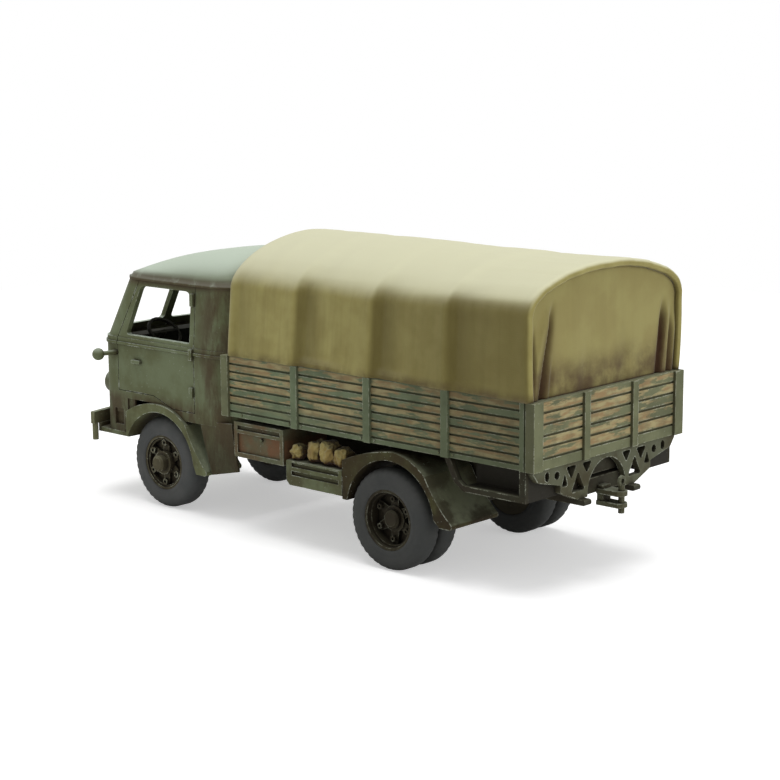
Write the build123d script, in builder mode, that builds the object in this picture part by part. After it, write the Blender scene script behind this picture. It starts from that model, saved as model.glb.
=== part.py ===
"""A tabletop model of a cab-over military cargo truck with planked sides and a canvas tilt.

Millimetres. +Z is up and the ground is z = 0. The truck faces -Y, so its left side is +X.
The origin lies on the ground under the middle of the model's length.
"""
import os
from math import cos, radians, sin

from build123d import *

os.makedirs("parts", exist_ok=True)

# ---------------------------------------------------------------- driving sizes
# wheels and axles
front_axle_y = -34.6
wheelbase = 57.7
tyre_radius = 8.15
bead_radius = 4.9
shoulder = 1.0
front_tyre_width = 4.6
front_wheel_face_x = 15.2
rear_tyre_width = 3.8
twin_gap = 0.5
rear_wheel_face_x = 19.2
rim_lip = 0.2
rim_wall = 0.45
rim_step = 0.35
hub_radius = 1.8
cap_bevel = 0.35
stub_radius = 1.0
running_clearance = 0.06
end_clearance = 0.15
spoke_count = 6
spoke_root_width = 1.7
spoke_tip_width = 1.15
axle_tube_radius = 1.4
beam_size = 2.1
knuckle_radius = 1.6
spring_width = 1.4
spring_leaf = 0.55
spring_hanger = 1.5

# ladder frame
rail_x = 6.4
rail_width = 1.6
rail_bottom_z = 13.0
rail_height = 3.6
rail_tail_overhang = 0.9
rail_tail_height = 0.9
member_width = 1.6
member_height = 2.4
bearer_width = 1.6
bearer_count = 5

# load bed
bed_front_y = -14.1
bed_length = 65.7
bed_half_width = 18.75
bed_bottom_z = 20.0
board_height = 10.3
board_thickness = 1.2
floor_thickness = 1.1
post_width = 1.4
post_proud = 0.45
corner_post_width = 2.2
latch_gap = 0.25
groove_depth = 0.3
groove_width = 0.35
side_foot_rail = 0.95
side_plank_count = 7
end_foot_rail = 1.7
end_plank_count = 5
tail_post_x = 6.2

# tilt
tilt_inset = 0.25
tilt_wall = 1.1
tilt_crown_z = 49.2
tilt_shoulder_z = 42.0
tilt_lean = 0.9
tilt_rear_inset = 1.0

# cab
cab_gap_to_bed = 2.5
cab_length = 34.1
cab_bow = 1.3
cab_half_width = 15.6
cab_wall = 1.0
cab_corner = 4.4
nose_bottom_z = 12.5
belt_z = 29.8
gutter_z = 40.4
screen_rake = 5.5
tumblehome = 0.75
bead_height = 0.5
bead_proud = 0.22
bead_drop = 1.3
belt_step = 0.12
gutter_height = 0.6
gutter_proud = 0.3
roof_crown_z = 46.4
door_front_inset = 5.1
door_length = 20.2
door_bottom_z = 19.0
door_step = 1.2
panel_gap = 0.12
pane_width = 10.4
pane_height = 8.0
divider_width = 1.6
floor_drop = 10.85
floor_sheet = 0.9

# fenders
fender_sheet = 1.0
fender_lip = 0.9
fender_proud = 0.6
fender_clear = 1.05
fender_over = 2.5
front_fender_inner_x = 7.8
rear_fender_inner_x = 8.0

# nose fittings
apron_thickness = 0.8
bumper_overhang = 1.4
bumper_reach = 1.6
bumper_bow = 2.2
bumper_thickness = 1.0
bumper_height = 2.2
bumper_skirt = 1.5
lamp_radius = 2.1
lamp_z = 20.4
lamp_reach = 1.8
grille_width = 11.0
grille_height = 13.4
grille_z = 21.3
slat_count = 7

# under the bed
box_inner_x = 8.2
box_frame = 0.8
knob_reach = 6.4
knob_drop = 2.5
side_box_reach = 13.1
side_box_rise = 2.1
locker_bottom_z = 10.4
locker_top_z = 14.5
truss_thickness = 1.1
truss_arch_radius = 4.9
hitch_reach = 2.8
pin_radius = 0.5
jaw_width = 2.4

# ---------------------------------------------------------------- places that follow
rear_axle_y = front_axle_y + wheelbase
axle_z = tyre_radius
bed_rear_y = bed_front_y + bed_length
bed_top_z = bed_bottom_z + board_height
cab_rear_y = bed_front_y - cab_gap_to_bed
cab_front_y = cab_rear_y - cab_length
rail_front_y = cab_front_y + 0.7
rail_top_z = rail_bottom_z + rail_height
truss_y = bed_rear_y - 0.4
truss_front_y = truss_y - truss_thickness
rail_rear_y = bed_rear_y + rail_tail_overhang
twin_width = 2 * rear_tyre_width + twin_gap
front_wheel_inner_x = front_wheel_face_x - front_tyre_width
rear_wheel_inner_x = rear_wheel_face_x - twin_width
fender_radius = tyre_radius + fender_over
fender_inner_radius = tyre_radius + fender_clear
groove_radius = tyre_radius - 1.5
fender_face_x = cab_half_width + fender_proud
door_front_y = cab_front_y + door_front_inset
door_rear_y = door_front_y + door_length
floor_z = belt_z - floor_drop


def keep(builder, name):
    """Label a finished piece and write it to its own STEP file."""
    builder.part.label = name
    export_step(builder.part, f"parts/{name}.step")


def keep_mirrored(builder, name):
    """Write the same piece for the truck's other side."""
    with BuildPart() as other:
        mirror(builder.part, about=Plane.YZ)
    keep(other, name)


def wheel_plane(axle_y):
    """A plane through an axle: its x runs along the axle and its y is the wheel's radius."""
    return Plane(origin=(0, axle_y, axle_z), x_dir=(1, 0, 0), z_dir=(0, -1, 0))


def wheel_axis(axle_y):
    return Axis((0, axle_y, axle_z), (1, 0, 0))


def side_plane(x, y=0.0, z=0.0):
    """A plane square to X: its x is the truck's +Y and its y is up."""
    return Plane(origin=(x, y, z), x_dir=(0, 1, 0), z_dir=(1, 0, 0))


def side_rectangle(y0, y1, z0, z1):
    """A rectangle in the open side-view sketch, from its limits along Y and Z."""
    with Locations(((y0 + y1) / 2, (z0 + z1) / 2)):
        Rectangle(y1 - y0, z1 - z0)


# ---------------------------------------------------------------- wheels
def tyre_ring(side, axle_y, face_x, width, twin):
    """A tyre as one turned ring with bevelled shoulders, or a pair of tyres with a groove between."""
    def at(depth, radius):
        return (side * (face_x - depth), radius)

    if twin:
        inner_x = 2 * width + twin_gap
        treads = [at(shoulder, tyre_radius), at(width, tyre_radius),
                  at(width + twin_gap / 2, groove_radius),
                  at(width + twin_gap, tyre_radius), at(inner_x, tyre_radius)]
    else:
        inner_x = width
        treads = [at(shoulder, tyre_radius), at(width - shoulder, tyre_radius),
                  at(width, tyre_radius - shoulder)]
    with BuildSketch(wheel_plane(axle_y)) as section:
        with BuildLine():
            Polyline(at(0, bead_radius), at(0, tyre_radius - shoulder), *treads,
                     at(inner_x, bead_radius), close=True)
        make_face()
    revolve(section.sketch, axis=wheel_axis(axle_y))


def add_rim(side, axle_y, face_x, width, dish, cap, stub_depth, ring_depth, lug_circle, lug_size):
    """A cast spoked wheel: stepped rim, dished web, spokes with hollow lugs, hub cap and bore.

    Depths run inwards from the tyre's outer face. cap is the hub cap's (depth, radius).
    lug_size is the lugs' (radius, depth of their tips).
    """
    cap_depth, cap_radius = cap
    lug_radius, lug_depth = lug_size
    barrel_radius = bead_radius - rim_wall
    well_radius = barrel_radius - rim_step
    bore_radius = stub_radius + running_clearance
    back_depth = width - rim_lip

    def at(depth, radius):
        return (side * (face_x - depth), radius)

    with BuildSketch(wheel_plane(axle_y)) as section:
        with BuildLine():
            Polyline(
                at(rim_lip, bead_radius), at(back_depth, bead_radius), at(back_depth, bore_radius),
                at(stub_depth, bore_radius), at(stub_depth, 0),
                at(cap_depth, 0), at(cap_depth, cap_radius - cap_bevel),
                at(cap_depth + cap_bevel, cap_radius), at(dish, cap_radius),
                at(dish, well_radius), at(ring_depth, well_radius), at(ring_depth, barrel_radius),
                at(rim_lip, barrel_radius), close=True)
        make_face()
    revolve(section.sketch, axis=wheel_axis(axle_y))

    web = Plane(origin=(side * (face_x - dish), axle_y, axle_z), x_dir=(0, 0, 1), z_dir=(side, 0, 0))
    with BuildSketch(web) as spokes:
        with PolarLocations(0, spoke_count):
            Polygon((hub_radius, -spoke_root_width / 2), (well_radius + 0.1, -spoke_tip_width / 2),
                    (well_radius + 0.1, spoke_tip_width / 2), (hub_radius, spoke_root_width / 2),
                    align=None)
    extrude(spokes.sketch, amount=(dish - lug_depth) / 2)
    with BuildSketch(web) as boss:
        RegularPolygon(hub_radius + cap_bevel, 2 * spoke_count)
        Circle(bore_radius, mode=Mode.SUBTRACT)
    extrude(boss.sketch, amount=(dish - cap_depth) / 2)
    with BuildSketch(web) as lugs:
        with PolarLocations(lug_circle, spoke_count):
            RegularPolygon(lug_radius, 6)
    extrude(lugs.sketch, amount=dish - lug_depth)
    with BuildSketch(web.offset(dish - lug_depth)) as dimples:
        with PolarLocations(lug_circle, spoke_count):
            RegularPolygon(lug_radius / 2, 6)
    extrude(dimples.sketch, amount=-lug_radius / 2, mode=Mode.SUBTRACT)


front_wheel = (1.4, (-1.5, 1.45), 0.4, 0.5, 3.55, (0.62, 0.35))
rear_wheel = (2.6, (0.8, 1.5), 1.7, 0.9, 3.2, (0.5, 1.3))
wheel_rows = [
    # name, side, axle_y, face_x, tyre width, twin tyres, the rim's depths and radii for add_rim
    ("front_left", 1, front_axle_y, front_wheel_face_x, front_tyre_width, False, front_wheel),
    ("front_right", -1, front_axle_y, front_wheel_face_x, front_tyre_width, False, front_wheel),
    ("rear_left", 1, rear_axle_y, rear_wheel_face_x, rear_tyre_width, True, rear_wheel),
    ("rear_right", -1, rear_axle_y, rear_wheel_face_x, rear_tyre_width, True, rear_wheel),
]
for name, side, axle_y, face_x, width, twin, depths in wheel_rows:
    with BuildPart() as tyre:
        tyre_ring(side, axle_y, face_x, width, twin)
    keep(tyre, f"{name}_tyre")
    with BuildPart() as rim:
        add_rim(side, axle_y, face_x, twin_width if twin else width, *depths)
    keep(rim, f"{name}_rim")

# ---------------------------------------------------------------- axles and springs
front_stub_end_x = front_wheel_face_x - front_wheel[2] - end_clearance
rear_stub_end_x = rear_wheel_face_x - rear_wheel[2] - end_clearance


def add_turned(axle_y, points):
    """A turned piece on an axle, in the open part: its profile (x, radius) is closed on the axis."""
    with BuildSketch(wheel_plane(axle_y)) as section:
        with BuildLine():
            Polyline((points[0][0], 0), *points, (points[-1][0], 0), close=True)
        make_face()
    revolve(section.sketch, axis=wheel_axis(axle_y))


def add_stacked(plane, sides, rows):
    """A many-sided turned form in the open part, from rows of (height over the plane, radius)."""
    rings = []
    for height, radius in rows:
        with BuildSketch(plane.offset(height)) as ring:
            RegularPolygon(radius, sides)
        rings.append(ring.sketch)
    loft(rings, ruled=True)


def both_ways(points):
    """A profile given from its middle out, with its mirror image put before it."""
    return [(-x, radius) for x, radius in reversed(points)] + points


knuckle_end_x = front_wheel_inner_x - 0.3
knuckle_start_x = knuckle_end_x - knuckle_radius
with BuildPart() as front_axle:
    with Locations((0, front_axle_y, axle_z)):
        Box(2 * knuckle_start_x, beam_size, beam_size)
    add_turned(front_axle_y, both_ways([(front_stub_end_x, stub_radius)]))
    for side in (1, -1):
        with BuildSketch(side_plane(side * knuckle_start_x, front_axle_y, axle_z)) as knuckle:
            RegularPolygon(knuckle_radius, 8, major_radius=False)
        extrude(knuckle.sketch, amount=side * (knuckle_end_x - knuckle_start_x))
keep(front_axle, "front_axle")

tube_end_x = rear_wheel_inner_x - 0.4
housing_radius = 3.2
with BuildPart() as rear_axle:
    add_turned(rear_axle_y, both_ways([(tube_end_x, axle_tube_radius), (tube_end_x, stub_radius),
                                       (rear_stub_end_x, stub_radius)]))
    for half, radius in ((0.5 * housing_radius, housing_radius),
                         (1.1 * housing_radius, 0.65 * housing_radius)):
        with BuildSketch(side_plane(-half, rear_axle_y, axle_z)) as housing:
            RegularPolygon(radius, 16)
        extrude(housing.sketch, amount=2 * half)
keep(rear_axle, "rear_axle")

spring_rows = [
    # name, axle_y, half length, height of the spring's seat over the axle's centre
    ("front_springs", front_axle_y, 8.5, beam_size / 2),
    ("rear_springs", rear_axle_y, 10.5, axle_tube_radius),
]
leaf_reaches = (0.66, 1.0)


def on_leaf(radius, angle, centre_z):
    """A point of a bowed leaf in side view, by its angle from the axle."""
    return (radius * sin(angle), centre_z - radius * cos(angle))


for name, axle_y, half_length, seat in spring_rows:
    middle_z = axle_z + seat
    end_z = rail_bottom_z - spring_hanger
    sag = end_z - middle_z - spring_leaf
    leaf_radius = (half_length ** 2 + sag ** 2) / (2 * sag)
    with BuildPart() as springs:
        for side in (1, -1):
            start_x = side * rail_x - spring_width / 2
            for number, reach in enumerate(leaf_reaches):
                low = leaf_radius + spring_leaf * (len(leaf_reaches) - number)
                high = low - spring_leaf
                turn = reach * half_length / leaf_radius
                centre_z = middle_z + leaf_radius + spring_leaf * len(leaf_reaches)
                with BuildSketch(side_plane(start_x, axle_y)) as leaf:
                    with BuildLine():
                        under = ThreePointArc(*[on_leaf(low, part * turn, centre_z)
                                                for part in (-1, 0, 1)])
                        over = ThreePointArc(*[on_leaf(high, part * turn, centre_z)
                                               for part in (1, 0, -1)])
                        Line(under @ 1, over @ 0)
                        Line(over @ 1, under @ 0)
                    make_face()
                extrude(leaf.sketch, amount=spring_width)
                tip = on_leaf(high, turn, centre_z)
            with BuildSketch(side_plane(start_x, axle_y)) as hangers:
                for end in (1, -1):
                    side_rectangle(end * (tip[0] - 0.6) - 0.7, end * (tip[0] - 0.6) + 0.7,
                                   tip[1] - spring_leaf, rail_bottom_z)
            extrude(hangers.sketch, amount=spring_width)
    keep(springs, name)

# ---------------------------------------------------------------- ladder frame
with BuildPart() as rails:
    for side in (1, -1):
        with BuildSketch(side_plane(side * rail_x - rail_width / 2)) as rail_face:
            side_rectangle(rail_front_y, truss_front_y, rail_bottom_z, rail_top_z)
            side_rectangle(truss_front_y, rail_rear_y, rail_bottom_z, rail_bottom_z + rail_tail_height)
            fillet(rail_face.vertices().group_by(Axis.X)[-1], 0.4)
        extrude(rail_face.sketch, amount=rail_width)
keep(rails, "chassis_rails")

cross_width = 2 * rail_x - rail_width
cross_bottom_z = rail_top_z - member_height - 0.4
member_ys = [rail_front_y + 4.0, cab_rear_y - 3.4, (front_axle_y + rear_axle_y) / 2 + 9.7,
             rear_axle_y + 10.9, truss_front_y - member_width / 2]
with BuildPart() as members:
    with BuildSketch(Plane.XY.offset(cross_bottom_z)):
        with Locations(*[(0, y) for y in member_ys]):
            Rectangle(cross_width, member_width)
    extrude(amount=member_height)
keep(members, "chassis_crossmembers")

bearer_pitch = (bed_length - 2 * board_thickness - 2 * bearer_width) / (bearer_count - 1)
with BuildPart() as bearers:
    with BuildSketch(Plane.XY.offset(rail_top_z)):
        for number in range(bearer_count):
            with Locations((0, bed_front_y + board_thickness + bearer_width + number * bearer_pitch)):
                Rectangle(2 * rail_x + 2.8, bearer_width)
    extrude(amount=bed_bottom_z - rail_top_z)
keep(bearers, "bed_bearers")

# ---------------------------------------------------------------- load bed
side_inner_y = bed_front_y + board_thickness
side_end_y = bed_rear_y - board_thickness
post_pitch = (bed_length - post_width) / 4
side_post_rows = [
    # front edge y, width along y
    (bed_front_y + post_pitch, post_width),
    (bed_front_y + 2 * post_pitch, post_width),
    (bed_front_y + 3 * post_pitch, post_width),
    (side_end_y - latch_gap - 0.6 * post_width, 0.6 * post_width),
]


def board_joints(foot_rail, count):
    """Heights of the joints between planks, over a plain rail at the bottom."""
    pitch = (board_height - foot_rail) / count
    return [bed_bottom_z + foot_rail + number * pitch for number in range(count)]


with BuildPart() as bed_floor:
    with BuildSketch(Plane.XY.offset(bed_bottom_z)):
        with Locations((0, (bed_front_y + bed_rear_y) / 2)):
            Rectangle(2 * (bed_half_width - board_thickness), bed_length - 2 * board_thickness)
    extrude(amount=floor_thickness)
keep(bed_floor, "bed_floor")

with BuildPart() as bed_side:
    with BuildSketch(Plane.XZ.offset(-side_inner_y)) as boards:
        with Locations((bed_half_width - board_thickness / 2, (bed_bottom_z + bed_top_z) / 2)):
            Rectangle(board_thickness, board_height)
        with Locations(*[(bed_half_width, z) for z in board_joints(side_foot_rail, side_plank_count)]):
            Rectangle(2 * groove_depth, groove_width, mode=Mode.SUBTRACT)
    extrude(boards.sketch, amount=-(side_end_y - side_inner_y))
    for front_edge_y, width in side_post_rows:
        with BuildSketch(Plane.XY.offset(bed_bottom_z)) as post:
            with Locations((bed_half_width - (board_thickness - post_proud) / 2,
                            front_edge_y + width / 2)):
                Rectangle(board_thickness + post_proud, width)
        extrude(post.sketch, amount=board_height)
keep(bed_side, "bed_side_left")
keep_mirrored(bed_side, "bed_side_right")

corner_post_x = bed_half_width + post_proud - corner_post_width / 2
end_post_rows = [
    # middle x, width along x
    (corner_post_x, corner_post_width),
    (tail_post_x, post_width),
    (-tail_post_x, post_width),
    (-corner_post_x, corner_post_width),
]
for name, face_y, outward in (("headboard", bed_front_y, -1), ("tailboard", bed_rear_y, 1)):
    with BuildPart() as end_board:
        with BuildSketch(side_plane(-bed_half_width)) as boards:
            with Locations((face_y - outward * board_thickness / 2, (bed_bottom_z + bed_top_z) / 2)):
                Rectangle(board_thickness, board_height)
            with Locations(*[(face_y, z) for z in board_joints(end_foot_rail, end_plank_count)]):
                Rectangle(2 * groove_depth, groove_width, mode=Mode.SUBTRACT)
        extrude(boards.sketch, amount=2 * bed_half_width)
        for x, width in end_post_rows:
            with BuildSketch(Plane.XY.offset(bed_bottom_z)) as post:
                with Locations((x, face_y - outward * (board_thickness - post_proud) / 2)):
                    Rectangle(width, board_thickness + post_proud)
            extrude(post.sketch, amount=board_height)
    keep(end_board, name)


# ---------------------------------------------------------------- tilt
def tilt_section(y, half, crown_z):
    """The tilt's arched section at y: sides that lean in, round shoulders and a flat crown."""
    shoulder_x = half - tilt_lean
    with BuildSketch(Plane.XZ.offset(-y)) as section:
        with BuildLine():
            left = Line((half, bed_top_z), (shoulder_x, tilt_shoulder_z))
            crown = ThreePointArc((shoulder_x - 3.9, crown_z - 2.5), (0, crown_z),
                                  (-shoulder_x + 3.9, crown_z - 2.5))
            right = Line((-shoulder_x, tilt_shoulder_z), (-half, bed_top_z))
            ThreePointArc(left @ 1, (shoulder_x - 1.2, crown_z - 4.5), crown @ 0)
            ThreePointArc(crown @ 1, (-shoulder_x + 1.2, crown_z - 4.5), right @ 0)
            Line(right @ 1, left @ 0)
        make_face()
    return section.sketch


tilt_front_y = bed_front_y + 0.8
tilt_rear_y = bed_rear_y - 0.5
tilt_half = bed_half_width + tilt_inset
tilt_length = tilt_rear_y - tilt_front_y
with BuildPart() as tilt:
    outer = tilt_section(tilt_front_y, tilt_half, tilt_crown_z)
    extrude(outer, amount=-tilt_length)
    inner = tilt_section(tilt_front_y + tilt_wall, tilt_half - tilt_wall, tilt_crown_z - tilt_wall)
    extrude(inner, amount=-(tilt_length - 2 * tilt_wall - tilt_rear_inset), mode=Mode.SUBTRACT)
    curtain = tilt_section(tilt_rear_y, tilt_half - tilt_wall, tilt_crown_z - tilt_wall)
    extrude(curtain, amount=tilt_rear_inset, mode=Mode.SUBTRACT)
keep(tilt, "tilt")


# ---------------------------------------------------------------- cab shell
def side_x(z):
    """Half the cab's width at height z: upright up to the belt, then leaning in to the gutter."""
    lean = max(0, z - belt_z) / (gutter_z - belt_z)
    return cab_half_width - tumblehome * lean


def lower_section(z, inset):
    """The lower cab's plan: straight sides, a bowed front and four rounded corners."""
    half = cab_half_width - inset
    nose_y = cab_front_y + inset
    back_y = cab_rear_y - inset
    with BuildSketch(Plane.XY.offset(z)) as level:
        with BuildLine():
            Polyline((half, nose_y), (half, back_y), (-half, back_y), (-half, nose_y))
            ThreePointArc((-half, nose_y), (0, nose_y - cab_bow), (half, nose_y))
        make_face()
        fillet(level.vertices(), cab_corner - inset)
    return level.sketch


def upper_body(inset):
    """The upper cab as one block, cut to its leaning sides and to the two halves of its windscreen.

    The halves meet in a shallow V over the nose's bow. The four upright corners are rounded.
    """
    height = gutter_z - belt_z
    front_y = cab_front_y - cab_bow
    back_y = cab_rear_y - inset
    with BuildPart() as block:
        with Locations((0, (front_y + back_y) / 2, (belt_z + gutter_z) / 2)):
            Box(2 * cab_half_width, back_y - front_y, height)
        for side in (1, -1):
            along_side = Vector(0, 1, 0)
            up_side = Vector(-side * tumblehome, 0, height)
            flank = Plane(origin=(side * cab_half_width, 0, belt_z), x_dir=along_side,
                          z_dir=side * along_side.cross(up_side))
            split(bisect_by=flank.offset(-inset), keep=Keep.BOTTOM)
            across_screen = Vector(side * cab_half_width, cab_bow, 0)
            up_screen = Vector(0, screen_rake, height)
            screen = Plane(origin=(0, front_y, belt_z), x_dir=across_screen,
                           z_dir=side * across_screen.cross(up_screen))
            split(bisect_by=screen.offset(-inset), keep=Keep.BOTTOM)
        corners = [edge for edge in block.edges()
                   if abs(edge.center().X) > 1 and edge.bounding_box().size.Z > 1]
        fillet(corners, cab_corner - inset)
    return block.part


front_foot_y, front_foot_z = -8.7, 3.85
cab_skirt_y = front_axle_y + front_foot_y
with BuildPart() as lower_shell:
    height = belt_z - nose_bottom_z
    extrude(lower_section(nose_bottom_z, 0), amount=height)
    extrude(lower_section(belt_z - bead_drop, -bead_proud), amount=bead_height)
    extrude(lower_section(nose_bottom_z, cab_wall), amount=height, mode=Mode.SUBTRACT)
    with BuildSketch(side_plane(-cab_half_width - 1)) as underside:
        side_rectangle(cab_skirt_y, cab_rear_y + 1, nose_bottom_z - 1, rail_top_z)
        with Locations((front_axle_y, axle_z)):
            Circle(fender_radius)
        side_rectangle(cab_skirt_y, front_axle_y, nose_bottom_z - 1, axle_z + fender_radius)
    extrude(underside.sketch, amount=2 * cab_half_width + 2, mode=Mode.SUBTRACT)
    with BuildSketch(side_plane(0)) as pockets:
        side_rectangle(cab_front_y + 3.8, cab_front_y + 6.2, nose_bottom_z + 1.3, nose_bottom_z + 4.2)
    for side in (1, -1):
        extrude(Pos(side * (cab_half_width - 0.6 * cab_wall), 0, 0) * pockets.sketch, amount=side * 2,
                mode=Mode.SUBTRACT)

window_foot_z = belt_z + 0.6
window_head_z = gutter_z - 1.0
window_rear_y = door_rear_y - 1.1
with BuildPart() as upper_shell:
    add(upper_body(belt_step))
    add(upper_body(belt_step + cab_wall), mode=Mode.SUBTRACT)
    with BuildSketch(side_plane(-cab_half_width - 1)) as window:
        with BuildLine():
            Polyline((door_front_y + 2.1, window_foot_z), (window_rear_y, window_foot_z),
                     (window_rear_y, window_head_z), (door_front_y + screen_rake + 0.4, window_head_z),
                     close=True)
        make_face()
        fillet(window.vertices().group_by(Axis.Y)[-1], 1.4)
        fillet(window.vertices().group_by(Axis.Y)[0], 0.5)
    extrude(window.sketch, amount=2 * cab_half_width + 2, mode=Mode.SUBTRACT)
    with BuildSketch(Plane.XZ.offset(-cab_front_y + 4)) as panes:
        for side in (1, -1):
            with Locations((side * (divider_width + pane_width) / 2, (belt_z + gutter_z) / 2)):
                RectangleRounded(pane_width, pane_height, 0.8)
    extrude(panes.sketch, amount=-(screen_rake + 8), mode=Mode.SUBTRACT)


def door_face(grow):
    """The door's outline in the side view: raked front edge and a bottom stepped over the fender."""
    step_y = door_rear_y - 5.6
    with BuildSketch(side_plane(0)) as outline:
        with BuildLine():
            Polyline(
                (door_front_y, door_bottom_z + door_step), (door_front_y, belt_z),
                (door_front_y + screen_rake, gutter_z), (door_rear_y, gutter_z),
                (door_rear_y, door_bottom_z - door_step / 2),
                (step_y, door_bottom_z - door_step / 2), (step_y - 5.2, door_bottom_z + door_step),
                close=True)
        make_face()
        if grow:
            offset(amount=grow, kind=Kind.INTERSECTION)
    return outline.sketch


hinge_rows = [
    # middle z, height
    (22.0, 1.7),
    (28.6, 1.9),
    (38.1, 2.2),
]
handle_y = door_front_y + 4.6
handle_z = belt_z - 4.0
with BuildPart() as door:
    add(lower_shell.part)
    add(upper_shell.part)
    extrude(door_face(0), amount=cab_half_width + 1, mode=Mode.INTERSECT)
    for z, height in hinge_rows:
        with Locations((side_x(z) + 0.05, door_rear_y - 0.4, z)):
            Box(0.9, 0.75, height)
    with Locations((cab_half_width + 0.2, handle_y, handle_z)):
        Box(1.0, 0.6, 0.6)
    with Locations((cab_half_width + 0.5, handle_y + 0.8, handle_z)):
        Box(0.4, 2.2, 0.6)
keep(door, "door_left")
keep_mirrored(door, "door_right")

with BuildPart() as body_shell:
    add(lower_shell.part)
    add(upper_shell.part)
    extrude(door_face(panel_gap), amount=cab_half_width + 1, both=True, mode=Mode.SUBTRACT)

nose_end_y = front_axle_y
split_rows = [
    # name, y from, y to, z from, z to
    ("cab_nose", cab_front_y - cab_bow - 1, nose_end_y, nose_bottom_z, belt_z),
    ("windscreen_frame", cab_front_y - cab_bow - 1, nose_end_y, belt_z, gutter_z),
    ("cab_back", nose_end_y, cab_rear_y + 1, nose_bottom_z, gutter_z),
]
for name, y0, y1, z0, z1 in split_rows:
    with BuildPart() as panel:
        add(body_shell.part)
        with BuildSketch(Plane.XY.offset(z0)) as region:
            with Locations((0, (y0 + y1) / 2)):
                Rectangle(2 * cab_half_width + 2, y1 - y0)
        extrude(region.sketch, amount=z1 - z0, mode=Mode.INTERSECT)
    keep(panel, name)


# ---------------------------------------------------------------- cab roof
def roof_plan(z, inset):
    """The roof's outline in plan: the upper cab's at the gutter, grown or drawn in by inset."""
    half = side_x(gutter_z) - inset
    nose_y = cab_front_y + screen_rake + inset
    with BuildSketch(Plane.XY.offset(z)) as plan:
        with BuildLine():
            Polyline((half, nose_y), (half, cab_rear_y - inset), (-half, cab_rear_y - inset),
                     (-half, nose_y), (0, nose_y - cab_bow), close=True)
        make_face()
        fillet([vertex for vertex in plan.vertices() if abs(vertex.X) > 1], cab_corner - inset)
    return plan.sketch


def roof_block(inset):
    """The roof's dome: an arch across the cab, cut by a falling side profile and by the cab's plan."""
    base_z = gutter_z + (gutter_height if inset == 0 else 0)
    half = side_x(gutter_z) - inset
    crown_z = roof_crown_z - inset
    front_y = cab_front_y + screen_rake - cab_bow + inset
    back_y = cab_rear_y - inset
    reach = back_y - front_y
    rise = crown_z - base_z
    with BuildPart() as dome:
        with BuildSketch(Plane.XZ.offset(-back_y)) as arch:
            with BuildLine():
                right_side = ThreePointArc((half, base_z), (0.925 * half, base_z + 0.46 * rise),
                                           (0.69 * half, crown_z - 0.22 * rise))
                crown = ThreePointArc(right_side @ 1, (0, crown_z), (-0.69 * half, crown_z - 0.22 * rise))
                ThreePointArc(crown @ 1, (-0.925 * half, base_z + 0.46 * rise), (-half, base_z))
                Line((-half, base_z), (half, base_z))
            make_face()
        extrude(arch.sketch, amount=reach)
        with BuildSketch(side_plane(-cab_half_width)) as profile:
            with BuildLine():
                top = ThreePointArc((back_y, crown_z), (back_y - 0.44 * reach, crown_z - 0.11 * rise),
                                    (back_y - 0.78 * reach, crown_z - 0.38 * rise))
                brow = ThreePointArc(top @ 1, (front_y + 0.075 * reach, crown_z - 0.66 * rise),
                                     (front_y, base_z))
                Polyline(brow @ 1, (back_y, base_z), top @ 0)
            make_face()
        extrude(profile.sketch, amount=2 * cab_half_width, mode=Mode.INTERSECT)
        extrude(roof_plan(base_z, inset), amount=rise, mode=Mode.INTERSECT)
    return dome.part


with BuildPart() as cab_roof:
    add(roof_block(0))
    extrude(roof_plan(gutter_z, -gutter_proud), amount=gutter_height)
    add(roof_block(cab_wall), mode=Mode.SUBTRACT)
keep(cab_roof, "cab_roof")


# ---------------------------------------------------------------- cab inside
def block_between(x0, x1, outline):
    """A solid with this side-view outline, from x0 to x1."""
    with BuildPart() as solid:
        with BuildSketch(side_plane(x0)) as face:
            with BuildLine():
                Polyline(*outline, close=True)
            make_face()
        extrude(face.sketch, amount=x1 - x0)
    return solid.part


inside_clear = 0.1
inner_half = cab_half_width - cab_wall
with BuildPart() as cab_floor:
    extrude(lower_section(floor_z, cab_wall + inside_clear), amount=floor_sheet)
keep(cab_floor, "cab_floor")

seat_back_y = cab_rear_y - cab_wall - inside_clear - belt_step
seat_foot_z = floor_z + floor_sheet
cushion_depth = 8.6
cushion_height = 4.5
backrest_height = 11.6
seat_half = inner_half - 3.1
with BuildPart() as seat:
    add(block_between(-seat_half, seat_half, [
        (seat_back_y - cushion_depth, seat_foot_z),
        (seat_back_y - cushion_depth, seat_foot_z + cushion_height),
        (seat_back_y - 2.2, seat_foot_z + cushion_height - 0.5),
        (seat_back_y - 1.0, seat_foot_z + backrest_height),
        (seat_back_y, seat_foot_z + backrest_height), (seat_back_y, seat_foot_z)]))
keep(seat, "bench_seat")

dash_front_y = cab_front_y + cab_wall + 0.6
dash_bottom_z = belt_z - 4.4
dash_half = inner_half - 2.0
with BuildPart() as dashboard:
    add(block_between(-dash_half, dash_half, [
        (dash_front_y, dash_bottom_z), (dash_front_y, belt_z - 0.6), (dash_front_y + 1.6, belt_z),
        (dash_front_y + 3.4, belt_z - 0.4), (dash_front_y + 2.6, dash_bottom_z)]))
keep(dashboard, "dashboard")

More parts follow.
